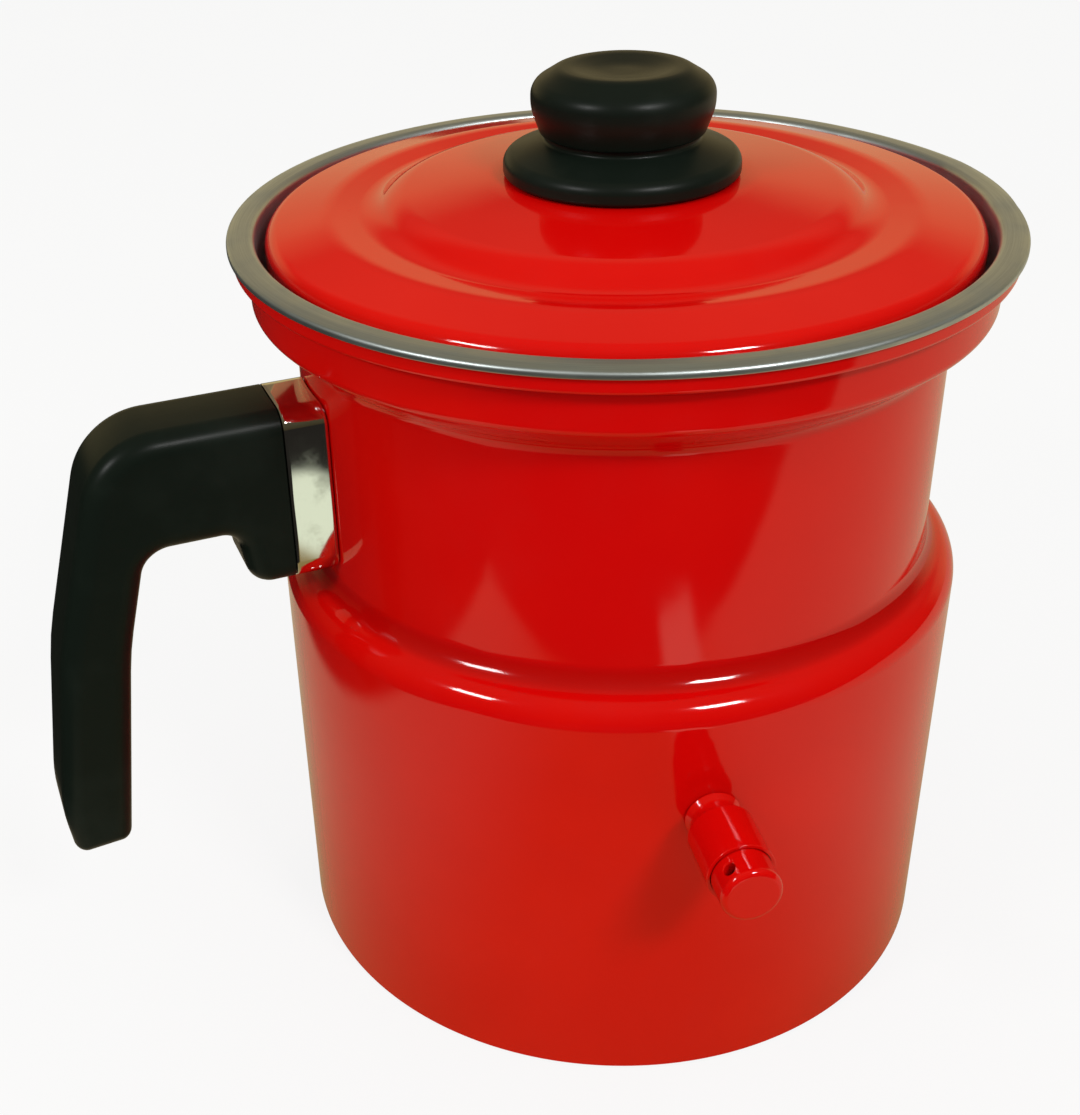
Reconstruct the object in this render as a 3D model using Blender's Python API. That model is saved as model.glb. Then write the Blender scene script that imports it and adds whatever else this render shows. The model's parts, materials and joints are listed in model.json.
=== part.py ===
"""Double-walled milk boiler with a lift-off lid and a pull-off steam whistle.

Metres, +Z up. The origin is the middle of the flat base, the handle points
to -X and the pouring lip to +X. Every piece is its own object.
"""

import math

import bmesh
import bpy
from mathutils import Matrix, Vector

# Fits and fineness
SEAM = 0.0003
BIG_SIDES = 44
KNOB_SIDES = 24
SMALL_SIDES = 20
FASTENER_SIDES = 16
CHORD_ERROR = 0.0003

# Outer jacket
NECK_RADIUS = 0.0724
SHOULDER_WIDTH = 0.0076
FLARE_WIDTH = 0.0088
BAND_WIDTH = 0.0031
EDGE_LIFT = 0.0006
BODY_HEIGHT = 0.1054
SHOULDER_FALL = 0.0037
SHOULDER_ROUND = 0.0064
CREASE_ROUND = 0.0060
NECK_HEIGHT = 0.0526
FLARE_RISE = 0.0068
FLARE_ROUND = 0.0045
COLLAR_ROUND = 0.0025
COLLAR_HEIGHT = 0.0092
BAND_HEIGHT = 0.0044
BAND_ROUND = 0.0009
JACKET_WALL = 0.0008

# Inner pot with its rolled rim
POT_WALL = 0.0008
POT_FLOOR_HEIGHT = 0.0122
POT_CORNER_ROUND = 0.0110
ROLL_ROUND = 0.0050
RIM_OVERHANG = 0.0010
RIM_DROP = 0.0005
RIM_ROUND = 0.0006
HEM_ROUND = 0.0003

# Pouring lip, pressed into both shells
LIP_REACH = 0.0026
LIP_DIP = 0.0007
LIP_HALF_ANGLE = math.radians(22.5)

# Base
HEAT_DISC_INSET = 0.0100
HEAT_DISC_THICKNESS = 0.0027
HEAT_DISC_ROUND = 0.0012
PLATE_WALL = 0.0008
PLATE_FLANGE_HEIGHT = 0.0100
PLATE_ROUND = 0.0030

# Lid
LID_PLAY = 0.0021
LID_WALL = 0.0008
LID_SKIRT_DEPTH = 0.0150
LID_EDGE_ROUND = 0.0034
LID_RING_RISE = 0.0023
PLATEAU_RADIUS = 0.0490
PLATEAU_RISE = 0.0033
PLATEAU_STEP_RUN = 0.0050
PLATEAU_CROWN = 0.0028
STEP_TOP_ROUND = 0.0100
STEP_FOOT_ROUND = 0.0012

# Knob
KNOB_FLANGE_RADIUS = 0.0254
KNOB_FLANGE_HEIGHT = 0.0040
KNOB_FLANGE_ROUND = 0.0032
KNOB_WAIST_RADIUS = 0.0165
KNOB_WAIST_LOW = 0.0072
KNOB_WAIST_HIGH = 0.0084
KNOB_WAIST_ROUND = 0.0025
KNOB_BULB_FOOT_RADIUS = 0.0176
KNOB_BULB_FOOT = 0.0088
KNOB_BULB_RADIUS = 0.0194
KNOB_BULB_LOW = 0.0138
KNOB_BULB_LOW_ROUND = 0.0090
KNOB_BULB_HIGH = 0.0184
KNOB_BULB_HIGH_ROUND = 0.0070
KNOB_HEIGHT = 0.0218
KNOB_CROWN_RADIUS = 0.0138
KNOB_CROWN_ROUND = 0.0040
KNOB_DISH_RADIUS = 0.0102
KNOB_DISH_DEPTH = 0.0010
KNOB_DISH_ROUND = 0.0020
KNOB_EDGE_ROUND = 0.0009
INSERT_RADIUS = 0.0040
INSERT_LENGTH = 0.0110

# Screws and washers
SCREW_RADIUS = 0.0020
SCREW_TIP_ROUND = 0.0010
SCREW_HEAD_RADIUS = 0.0037
SCREW_HEAD_HEIGHT = 0.0024
SCREW_HEAD_ROUND = 0.0014
SCREW_SLOT_WIDTH = 0.0010
SCREW_SLOT_DEPTH = 0.0012
WASHER_THICKNESS = 0.0008
KNOB_WASHER_RADIUS = 0.0055
HANDLE_WASHER_RADIUS = 0.0040
KNOB_SCREW_BITE = 0.0090
HANDLE_SCREW_BITE = 0.0045

# Filler tube and whistle, measured outwards from the jacket wall
WHISTLE_HEIGHT = 0.0750
WHISTLE_FROM_HANDLE = math.radians(80)
TUBE_RADIUS = 0.0052
TUBE_WALL = 0.0010
TUBE_REACH = 0.0135
TUBE_COLLAR_WIDTH = 0.0012
TUBE_COLLAR_LENGTH = 0.0016
TUBE_FLANGE_WIDTH = 0.0023
TUBE_FLANGE_THICKNESS = 0.0008
SLEEVE_START = 0.0055
SLEEVE_LENGTH = 0.0135
SLEEVE_WALL = 0.0007
SLEEVE_MOUTH_LENGTH = 0.0018
SLEEVE_ROUND = 0.0014
SLEEVE_LIP_ROUND = 0.0002
SEAL_THICKNESS = 0.0008
BARREL_STEP = 0.0008
BARREL_LENGTH = 0.0072
BARREL_ROUND = 0.0012
BARREL_SPIGOT = 0.0050
BARREL_FACE = 0.0014
CHAMBER_RADIUS = 0.0040
REED_SEAT_DEPTH = 0.0042
REED_THICKNESS = 0.0005
REED_GAP = 0.0016
REED_HOLE_RADIUS = 0.0011
STEAM_HOLE_RADIUS = 0.0014
STEAM_HOLE_FROM_END = 0.0038
STEAM_HOLE_TURN = math.radians(51)

# Handle, its places measured outwards from the guard and down from the top
HANDLE_WIDTH = 0.0210
HANDLE_ROUND = 0.0045
HANDLE_FACE_STRIPS = 2
HANDLE_EDGE_STRIPS = 3
GUARD_RISE = 0.0054
GUARD_HEIGHT = 0.0402
GUARD_LENGTH = 0.0091
GUARD_WALL = 0.0008
TONGUE_LENGTH = 0.0040
BAR_THICKNESS = 0.0268
LUG_LENGTH = 0.0094
LUG_SLOPE = 0.0022
LUG_ROUND = 0.0056
ARCH_START_ROUND = 0.0040
ARCH_RUN = 0.0197
ARCH_ROUND = 0.0070
ELBOW_RUN = 0.0390
ELBOW_ROUND = 0.0175
LEG_BEND_RUN = 0.0533
LEG_BEND_DROP = 0.0505
LEG_BEND_ROUND = 0.0900
LEG_BELLY_RUN = 0.0589
LEG_BELLY_DROP = 0.0885
LEG_BELLY_ROUND = 0.0400
TIP_RUN = 0.0575
TIP_DROP = 0.1015
TIP_SLOPE = 0.0010
TIP_ROUND = 0.0030
LEG_THICKNESS = 0.0157
TIP_THICKNESS = 0.0128
STATION_STEP = 0.0110
STATION_LEAST = 0.0012
BRACKET_THICKNESS = 0.0015
BRACKET_WIDTH = 0.0160
BRACKET_HEIGHT = 0.0280
BRACKET_STRIPS = 4
TANG_WIDTH = 0.0120
TANG_THICKNESS = 0.0022
TANG_LENGTH = 0.0200
TANG_RISE = 0.0190
SCREW_FROM_GUARD = 0.0048
HEAD_HOLE_DEPTH = 0.0085
HEAD_HOLE_PLAY = 0.0003

# Heights and radii that follow from the sizes above
BODY_RADIUS = NECK_RADIUS + SHOULDER_WIDTH
COLLAR_RADIUS = NECK_RADIUS + FLARE_WIDTH
BAND_RADIUS = COLLAR_RADIUS + BAND_WIDTH
HEAT_DISC_RADIUS = BODY_RADIUS - HEAT_DISC_INSET
NECK_TOP = BODY_HEIGHT + NECK_HEIGHT
FLARE_TOP = NECK_TOP + FLARE_RISE
COLLAR_TOP = FLARE_TOP + COLLAR_HEIGHT
JACKET_TOP = COLLAR_TOP + BAND_HEIGHT
PLATE_UNDERSIDE = HEAT_DISC_THICKNESS + SEAM
HANDLE_BOTTOM = BODY_HEIGHT + GUARD_RISE
HANDLE_TOP = HANDLE_BOTTOM + GUARD_HEIGHT
GRIP_START = NECK_RADIUS + GUARD_LENGTH + SEAM
TANG_BOTTOM = HANDLE_BOTTOM + TANG_RISE
TANG_TOP = TANG_BOTTOM + TANG_THICKNESS
SCREW_PLACE = GRIP_START + SCREW_FROM_GUARD
SLEEVE_END = SLEEVE_START + SLEEVE_LENGTH
SLEEVE_BORE = TUBE_RADIUS + SEAM + SEAL_THICKNESS + SEAM
SLEEVE_RADIUS = SLEEVE_BORE + SLEEVE_WALL
BARREL_RADIUS = SLEEVE_RADIUS - BARREL_STEP
SPIGOT_RADIUS = SLEEVE_BORE - SEAM

RED = (0.62, 0.004, 0.003)
STEEL = (0.52, 0.52, 0.50)
BLACK = (0.012, 0.014, 0.013)


def clear_scene():
    for obj in list(bpy.data.objects):
        bpy.data.objects.remove(obj, do_unlink=True)


def corner_arc(before, corner, after, radius, steps=None):
    """The points of one corner, rounded to an arc that its two sides have room for."""
    into = (corner - before).normalized()
    out = (after - corner).normalized()
    turn = math.atan2(into.x * out.y - into.y * out.x, into.dot(out))
    if radius <= 0 or abs(turn) < math.radians(1):
        return [corner]
    half = math.tan(abs(turn) / 2)
    room = 0.49 * min((corner - before).length, (after - corner).length)
    reach = min(radius * half, room)
    side = math.copysign(1, turn)
    start = corner - into * reach
    centre = start + side * Vector((-into.y, into.x)) * (reach / half)
    widest = 2 * math.acos(max(1 - CHORD_ERROR * half / reach, 0))
    steps = steps or math.ceil(abs(turn) / widest)
    spoke = start - centre
    return [centre + Matrix.Rotation(turn * step / steps, 2) @ spoke for step in range(steps + 1)]


def rounded_path(corners, closed=False):
    """An outline through (across, up, rounding) corners; an open one keeps its two ends sharp."""
    places = [Vector(corner[:2]) for corner in corners]
    count = len(corners)
    path = []
    for index, corner in enumerate(corners):
        if not closed and index in (0, count - 1):
            path.append(places[index])
            continue
        before = places[index - 1]
        after = places[(index + 1) % count]
        path += corner_arc(before, places[index], after, corner[2])
    return path


def offset_corners(corners, distance):
    """The same open outline, moved to its left by a distance, with each rounding kept concentric."""
    places = [Vector(corner[:2]) for corner in corners]
    moved = []
    for index, corner in enumerate(corners):
        before = places[max(index - 1, 0)]
        after = places[min(index + 1, len(places) - 1)]
        into = (places[index] - before) if index else (after - places[index])
        out = (after - places[index]) if index < len(places) - 1 else into
        into = into.normalized()
        out = out.normalized()
        turn = math.atan2(into.x * out.y - into.y * out.x, into.dot(out))
        left = Vector((-into.y, into.x)) + Vector((-out.y, out.x))
        shift = left.normalized() * (distance / math.cos(turn / 2))
        rounding = corner[2] - math.copysign(distance, turn) if corner[2] else 0
        moved.append((*(places[index] + shift), max(rounding, 0)))
    return moved


def sheet_section(corners, thickness):
    """A closed section of sheet metal: the outline and its copy one thickness to the left."""
    return rounded_path(corners) + rounded_path(offset_corners(corners, thickness))[::-1]


def add_object(name, bm, parent=None):
    """Turns a mesh under construction into a smooth-shaded object with outward faces."""
    bmesh.ops.remove_doubles(bm, verts=bm.verts, dist=1e-6)
    bmesh.ops.recalc_face_normals(bm, faces=bm.faces)
    mesh = bpy.data.meshes.new(name)
    bm.to_mesh(mesh)
    bm.free()
    mesh.shade_smooth()
    mesh.set_sharp_from_angle(angle=math.radians(35))
    obj = bpy.data.objects.new(name, mesh)
    bpy.context.scene.collection.objects.link(obj)
    obj.parent = parent
    return obj


def add_empty(name, location, rotation=None):
    """A frame that a group of pieces hangs from, such as the axis of a joint."""
    empty = bpy.data.objects.new(name, None)
    empty.matrix_world = Matrix.Translation(location) @ (rotation or Matrix())
    bpy.context.scene.collection.objects.link(empty)
    return empty


def turned(name, path, sides, closed=True, parent=None, reshape=None):
    """Spins a (radius, height) outline once round Z; an open one starts and ends on the axis."""
    bm = bmesh.new()
    verts = [bm.verts.new((point[0], 0, point[1])) for point in path]
    pairs = zip(verts, verts[1:] + verts[:1]) if closed else zip(verts, verts[1:])
    edges = [bm.edges.new(pair) for pair in pairs]
    bmesh.ops.spin(
        bm,
        geom=verts + edges,
        cent=(0, 0, 0),
        axis=(0, 0, 1),
        angle=math.tau,
        steps=sides,
        use_merge=True,
    )
    bmesh.ops.remove_doubles(bm, verts=bm.verts, dist=1e-6)
    if reshape:
        for vert in bm.verts:
            vert.co = reshape(vert.co)
    return add_object(name, bm, parent)


def lofted(name, rings, parent=None, tip_round=0):
    """Joins equal rings of points in order and closes both ends, the last with a rounded edge."""
    bm = bmesh.new()
    loops = [[bm.verts.new(point) for point in ring] for ring in rings]
    for low, high in zip(loops, loops[1:]):
        for index, vert in enumerate(low):
            bm.faces.new((low[index - 1], vert, high[index], high[index - 1]))
    bm.faces.new(loops[0])
    tip = bm.faces.new(loops[-1])
    if tip_round:
        bmesh.ops.recalc_face_normals(bm, faces=bm.faces)
        bmesh.ops.bevel(
            bm,
            geom=list(tip.edges),
            offset=tip_round,
            segments=2,
            profile=0.5,
            affect="EDGES",
            clamp_overlap=True,
        )
    return add_object(name, bm, parent)


def add_cutter(name, path, parent=None, matrix=None, sides=FASTENER_SIDES):
    """A round or stepped cutter about its own Z, turned into place by a matrix."""
    cutter = turned(name, path, sides, closed=False, parent=parent)
    cutter.matrix_local = matrix or Matrix()
    return hide_cutter(cutter)


def rod(radius, start, end):
    """The outline of a plain round bar along Z."""
    return [(0, start), (radius, start), (radius, end), (0, end)]


def hide_cutter(cutter):
    cutter.hide_render = True
    cutter.display_type = "WIRE"
    return cutter


def apply_boolean(obj, other, operation):
    modifier = obj.modifiers.new(other.name, "BOOLEAN")
    modifier.object = other
    modifier.operation = operation
    modifier.solver = "EXACT"


def give_finish(obj, colour, roughness, metallic):
    material = bpy.data.materials.new(obj.name + "_finish")
    material.use_nodes = True
    shader = material.node_tree.nodes["Principled BSDF"]
    shader.inputs["Base Color"].default_value = (*colour, 1)
    shader.inputs["Roughness"].default_value = roughness
    shader.inputs["Metallic"].default_value = metallic
    obj.data.materials.append(material)


def lip_pull(point):
    """Presses the pouring lip: a shallow V that grows from the collar up to the rim."""
    away = abs(math.atan2(point.y, point.x)) / LIP_HALF_ANGLE
    lift = (point.z - FLARE_TOP) / COLLAR_HEIGHT
    if away >= 1 or lift <= 0:
        return point
    rise = min(lift, 1)
    share = (1 - away) * rise * rise * (3 - 2 * rise)
    radial = Vector((point.x, point.y, 0)).normalized()
    return point + radial * LIP_REACH * share - Vector((0, 0, LIP_DIP * share))


def jacket_corners():
    """The outside of the jacket from its lower edge to the top of the rim band."""
    return [
        (BODY_RADIUS, EDGE_LIFT, 0),
        (BODY_RADIUS, BODY_HEIGHT - SHOULDER_FALL, SHOULDER_ROUND),
        (NECK_RADIUS, BODY_HEIGHT, CREASE_ROUND),
        (NECK_RADIUS, NECK_TOP, FLARE_ROUND),
        (COLLAR_RADIUS, FLARE_TOP, COLLAR_ROUND),
        (COLLAR_RADIUS, COLLAR_TOP, BAND_ROUND),
        (BAND_RADIUS, COLLAR_TOP, BAND_ROUND),
        (BAND_RADIUS, JACKET_TOP, 0),
    ]


def pot_corners():
    """The outside of the pot, nested in the jacket's neck and collar and rolled out over its top."""
    nested = offset_corners(jacket_corners(), JACKET_WALL + SEAM)
    neck_turn, collar_turn = nested[3], nested[4]
    rim_underside = JACKET_TOP + SEAM
    return [
        (0, POT_FLOOR_HEIGHT, 0),
        (neck_turn[0], POT_FLOOR_HEIGHT, POT_CORNER_ROUND),
        neck_turn,
        collar_turn,
        (collar_turn[0], rim_underside, ROLL_ROUND - POT_WALL),
        (BAND_RADIUS + SEAM, rim_underside, 0),
    ]


def whistle_frame():
    """Where the filler tube's axis leaves the jacket, with local Z pointing outwards."""
    angle = math.pi + WHISTLE_FROM_HANDLE
    outward = Vector((math.cos(angle), math.sin(angle), 0))
    turn = outward.to_track_quat("Z", "Y").to_matrix().to_4x4()
    return Matrix.Translation(outward * BODY_RADIUS + Vector((0, 0, WHISTLE_HEIGHT))) @ turn


def build_jacket():
    """The red outer shell, open below, with the hole that the filler tube stands in."""
    jacket = turned(
        "outer_jacket", sheet_section(jacket_corners(), JACKET_WALL), BIG_SIDES, reshape=lip_pull
    )
    hole = rod(TUBE_RADIUS + SEAM, -NECK_RADIUS / 2, TUBE_REACH)
    cutter = add_cutter("filler_hole_cutter", hole, matrix=whistle_frame(), sides=SMALL_SIDES)
    apply_boolean(jacket, cutter, "DIFFERENCE")
    give_finish(jacket, RED, 0.12, 0.0)


def build_pot():
    """The stainless pot that holds the milk, with its rim rolled out over the jacket."""
    outside = pot_corners()
    inside = rounded_path(offset_corners(outside, POT_WALL))
    rim_top = JACKET_TOP + SEAM + POT_WALL
    hem_bottom = JACKET_TOP + SEAM - RIM_DROP
    rim_radius = BAND_RADIUS + RIM_OVERHANG
    hem = [
        (BAND_RADIUS + SEAM, JACKET_TOP + SEAM, 0),
        (BAND_RADIUS + SEAM, hem_bottom, 0),
        (rim_radius, hem_bottom, HEM_ROUND),
        (rim_radius, rim_top, RIM_ROUND),
        (BAND_RADIUS - SEAM, rim_top, 0),
    ]
    path = rounded_path(outside)[:-1] + rounded_path(hem)[:-1] + inside[:-1][::-1]
    pot = turned("inner_pot", path, BIG_SIDES, closed=False, reshape=lip_pull)
    give_finish(pot, STEEL, 0.25, 1.0)


def build_base():
    """The dished plate that closes the water space, and the heat disc that stands on the hob."""
    flange_radius = BODY_RADIUS - JACKET_WALL - SEAM
    plate_corners = [
        (0, PLATE_UNDERSIDE, 0),
        (flange_radius, PLATE_UNDERSIDE, PLATE_ROUND),
        (flange_radius, PLATE_UNDERSIDE + PLATE_FLANGE_HEIGHT, 0),
    ]
    plate = turned(
        "bottom_plate", sheet_section(plate_corners, PLATE_WALL), BIG_SIDES, closed=False
    )
    give_finish(plate, STEEL, 0.35, 1.0)
    disc_path = rounded_path(
        [
            (0, 0, 0),
            (HEAT_DISC_RADIUS, 0, HEAT_DISC_ROUND),
            (HEAT_DISC_RADIUS, HEAT_DISC_THICKNESS, 0),
            (0, HEAT_DISC_THICKNESS, 0),
        ]
    )
    disc = turned("heat_disc", disc_path, BIG_SIDES, closed=False)
    give_finish(disc, (0.60, 0.60, 0.61), 0.4, 1.0)


def lid_seat():
    """Height at which the lid's skirt meets the pot's flare, and the skirt's radius."""
    inner = offset_corners(pot_corners(), POT_WALL)
    low, high = inner[2], inner[3]
    radius = high[0] - LID_PLAY
    slope = (high[1] - low[1]) / (high[0] - low[0])
    gap = SEAM * math.sqrt(1 + slope * slope)
    return low[1] + (radius - low[0]) * slope + gap, radius


def build_lid():
    """The pressed lid with its raised middle; its skirt stands on the flare inside the collar."""
    seat, radius = lid_seat()
    frame = add_empty("lid_axis", (0, 0, seat))
    step_foot = LID_SKIRT_DEPTH + LID_RING_RISE
    plateau = step_foot + PLATEAU_RISE
    crown = plateau + PLATEAU_CROWN
    hole = SCREW_RADIUS + SEAM
    corners = [
        (radius, 0, 0),
        (radius, LID_SKIRT_DEPTH, LID_EDGE_ROUND),
        (PLATEAU_RADIUS + PLATEAU_STEP_RUN, step_foot, STEP_FOOT_ROUND),
        (PLATEAU_RADIUS, plateau, STEP_TOP_ROUND),
        (KNOB_FLANGE_RADIUS, crown, STEP_TOP_ROUND),
        (hole, crown, 0),
    ]
    lid = turned("lid", sheet_section(corners, LID_WALL), BIG_SIDES, parent=frame)
    give_finish(lid, RED, 0.12, 0.0)
    build_knob(frame, crown)


def build_knob(frame, crown):
    """The moulded knob with its brass insert, held by a screw from under the lid."""
    base = crown + SEAM
    pocket_radius = INSERT_RADIUS + SEAM
    pocket_top = INSERT_LENGTH + SEAM
    dish_edge = KNOB_HEIGHT - KNOB_DISH_DEPTH
    outline = [
        (0, pocket_top, 0),
        (pocket_radius, pocket_top, 0),
        (pocket_radius, 0, 0),
        (KNOB_FLANGE_RADIUS, 0, KNOB_EDGE_ROUND),
        (KNOB_FLANGE_RADIUS, KNOB_FLANGE_HEIGHT, KNOB_FLANGE_ROUND),
        (KNOB_WAIST_RADIUS, KNOB_WAIST_LOW, KNOB_WAIST_ROUND),
        (KNOB_WAIST_RADIUS, KNOB_WAIST_HIGH, 0),
        (KNOB_BULB_FOOT_RADIUS, KNOB_BULB_FOOT, KNOB_EDGE_ROUND),
        (KNOB_BULB_RADIUS, KNOB_BULB_LOW, KNOB_BULB_LOW_ROUND),
        (KNOB_BULB_RADIUS, KNOB_BULB_HIGH, KNOB_BULB_HIGH_ROUND),
        (KNOB_CROWN_RADIUS, KNOB_HEIGHT, KNOB_CROWN_ROUND),
        (KNOB_DISH_RADIUS, KNOB_HEIGHT, KNOB_EDGE_ROUND),
        (KNOB_DISH_RADIUS - KNOB_DISH_DEPTH, dish_edge, KNOB_DISH_ROUND),
        (0, dish_edge, 0),
    ]
    knob = turned("knob", rounded_path(outline), KNOB_SIDES, closed=False, parent=frame)
    knob.location.z = base
    give_finish(knob, BLACK, 0.35, 0.0)

    insert_path = ring_section(SCREW_RADIUS + SEAM, INSERT_RADIUS, 0, INSERT_LENGTH)
    insert = turned("knob_insert", insert_path, FASTENER_SIDES, parent=frame)
    insert.location.z = base
    give_finish(insert, (0.55, 0.38, 0.12), 0.35, 1.0)

    washer_top = crown - LID_WALL - SEAM
    washer = add_washer("knob_washer", KNOB_WASHER_RADIUS, frame)
    washer.location.z = washer_top - WASHER_THICKNESS
    head_top = washer_top - WASHER_THICKNESS - SEAM
    length = base + KNOB_SCREW_BITE - head_top
    screw = add_screw("knob_screw", length, frame)
    screw.location.z = head_top


def ring_section(bore, radius, start, end):
    """The closed outline of a plain ring, from its bore out to its rim."""
    return [(bore, start), (radius, start), (radius, end), (bore, end)]


def add_washer(name, radius, parent):
    path = ring_section(SCREW_RADIUS + SEAM, radius, 0, WASHER_THICKNESS)
    washer = turned(name, path, FASTENER_SIDES, parent=parent)
    give_finish(washer, STEEL, 0.3, 1.0)
    return washer


def add_screw(name, length, parent):
    """A pan-head screw: its head hangs below the local origin and its shank rises from it."""
    path = rounded_path(
        [
            (0, -SCREW_HEAD_HEIGHT, 0),
            (SCREW_HEAD_RADIUS, -SCREW_HEAD_HEIGHT, SCREW_HEAD_ROUND),
            (SCREW_HEAD_RADIUS, 0, 0),
            (SCREW_RADIUS, 0, 0),
            (SCREW_RADIUS, length, SCREW_TIP_ROUND),
            (0, length, 0),
        ]
    )
    screw = turned(name, path, FASTENER_SIDES, closed=False, parent=parent)
    slot_half = Vector((SCREW_HEAD_RADIUS * 2, SCREW_SLOT_WIDTH / 2, SCREW_SLOT_DEPTH))
    head_face = Vector((0, 0, -SCREW_HEAD_HEIGHT))
    slot = box_between(name + "_slot_cutter", head_face - slot_half, head_face + slot_half, screw)
    apply_boolean(screw, hide_cutter(slot), "DIFFERENCE")
    give_finish(screw, STEEL, 0.3, 1.0)
    return screw


def build_filler_tube(frame):
    """The short tube for the water, flanged inside the jacket and collared outside it."""
    flange_radius = TUBE_RADIUS + TUBE_FLANGE_WIDTH
    inner_face = BODY_RADIUS - JACKET_WALL
    flange_front = math.sqrt(inner_face**2 - flange_radius**2) - BODY_RADIUS - SEAM
    flange_back = flange_front - TUBE_FLANGE_THICKNESS
    bore = TUBE_RADIUS - TUBE_WALL
    path = [
        (bore, flange_back),
        (flange_radius, flange_back),
        (flange_radius, flange_front),
        (TUBE_RADIUS, flange_front),
        (TUBE_RADIUS, SEAM),
        (TUBE_RADIUS + TUBE_COLLAR_WIDTH, SEAM),
        (TUBE_RADIUS, SEAM + TUBE_COLLAR_LENGTH),
        (TUBE_RADIUS, TUBE_REACH),
        (bore, TUBE_REACH),
    ]
    tube = turned("filler_tube", path, SMALL_SIDES, parent=frame)
    give_finish(tube, RED, 0.15, 0.0)


def build_whistle():
    """The push-on whistle: a sleeve with a soft seal, and a barrel with two reed plates in it."""
    frame = add_empty("whistle_axis", (0, 0, 0))
    frame.matrix_world = whistle_frame()
    build_filler_tube(frame)
    mouth = TUBE_RADIUS + SEAM
    shoulder = SLEEVE_START + SLEEVE_MOUTH_LENGTH
    sleeve_path = rounded_path(
        [
            (mouth, SLEEVE_START, 0),
            (SLEEVE_RADIUS, SLEEVE_START, SLEEVE_ROUND),
            (SLEEVE_RADIUS, SLEEVE_END, SLEEVE_LIP_ROUND),
            (SLEEVE_BORE, SLEEVE_END, 0),
            (SLEEVE_BORE, shoulder, 0),
            (mouth, shoulder, 0),
        ],
        closed=True,
    )
    sleeve = turned("whistle_sleeve", sleeve_path, SMALL_SIDES, parent=frame)
    give_finish(sleeve, RED, 0.15, 0.0)

    seal_path = ring_section(mouth, mouth + SEAL_THICKNESS, shoulder + SEAM, TUBE_REACH)
    seal = turned("whistle_seal", seal_path, SMALL_SIDES, parent=frame)
    give_finish(seal, (0.75, 0.73, 0.68), 0.6, 0.0)
    build_barrel(frame)


def build_barrel(frame):
    """The whistle's front: closed at its end, with one steam hole in its side."""
    barrel_end = SLEEVE_END + BARREL_LENGTH
    spigot_start = SLEEVE_END - BARREL_SPIGOT
    seat = spigot_start + REED_SEAT_DEPTH
    reed_bore = CHAMBER_RADIUS + 2 * SEAM + REED_THICKNESS
    path = rounded_path(
        [
            (reed_bore, spigot_start, 0),
            (SPIGOT_RADIUS, spigot_start, 0),
            (SPIGOT_RADIUS, SLEEVE_END, 0),
            (BARREL_RADIUS, SLEEVE_END + SEAM, 0),
            (BARREL_RADIUS, barrel_end, BARREL_ROUND),
            (0, barrel_end, 0),
            (0, barrel_end - BARREL_FACE, 0),
            (CHAMBER_RADIUS, barrel_end - BARREL_FACE, 0),
            (CHAMBER_RADIUS, seat, 0),
            (reed_bore, seat, 0),
        ],
        closed=True,
    )
    start = min(range(len(path)), key=lambda index: (abs(path[index].x), path[index].y))
    path = path[start:] + path[:start]
    barrel = turned("whistle_barrel", path, SMALL_SIDES, closed=False, parent=frame)
    sideways = Matrix.Rotation(STEAM_HOLE_TURN, 4, "Z") @ Matrix.Rotation(math.pi / 2, 4, "Y")
    across = Matrix.Translation((0, 0, barrel_end - STEAM_HOLE_FROM_END)) @ sideways
    steam_hole = rod(STEAM_HOLE_RADIUS, 0, BARREL_RADIUS * 2)
    apply_boolean(barrel, add_cutter("steam_hole_cutter", steam_hole, frame, across), "DIFFERENCE")
    give_finish(barrel, RED, 0.15, 0.0)

    reed_radius = reed_bore - SEAM
    front = seat - SEAM - REED_THICKNESS
    front_path = ring_section(REED_HOLE_RADIUS, reed_radius, front, front + REED_THICKNESS)
    front_plate = turned("whistle_front_plate", front_path, SMALL_SIDES, parent=frame)
    give_finish(front_plate, STEEL, 0.3, 1.0)

    rim_end = front - SEAM
    back = rim_end - REED_GAP
    cup_path = [
        (REED_HOLE_RADIUS, back - REED_THICKNESS),
        (reed_radius, back - REED_THICKNESS),
        (reed_radius, rim_end),
        (reed_radius - REED_THICKNESS, rim_end),
        (reed_radius - REED_THICKNESS, back),
        (REED_HOLE_RADIUS, back),
    ]
    back_plate = turned("whistle_back_plate", cup_path, SMALL_SIDES, parent=frame)
    give_finish(back_plate, STEEL, 0.3, 1.0)


def rounded_oblong(low, high, half_width, rounding):
    """Points round a section between two ends, spread sideways by half a width on each side."""
    middle = (low + high) / 2
    half = (high - low).length / 2
    up = (high - low).normalized()
    across = Vector((half_width, 0))
    upwards = Vector((0, half))
    corners = [-across - upwards, across - upwards, across + upwards, upwards - across]
    outline = []
    for index, corner in enumerate(corners):
        after = corners[(index + 1) % 4]
        arc = corner_arc(corners[index - 1], corner, after, rounding, HANDLE_EDGE_STRIPS)
        outline += arc
        if index in (0, 2):
            strip = (after - corner) * (1 - rounding / half_width) / HANDLE_FACE_STRIPS
            outline += [arc[-1] + strip * part for part in range(1, HANDLE_FACE_STRIPS)]
    return [middle + up * point.y + Vector((0, point.x, 0)) for point in outline]


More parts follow.
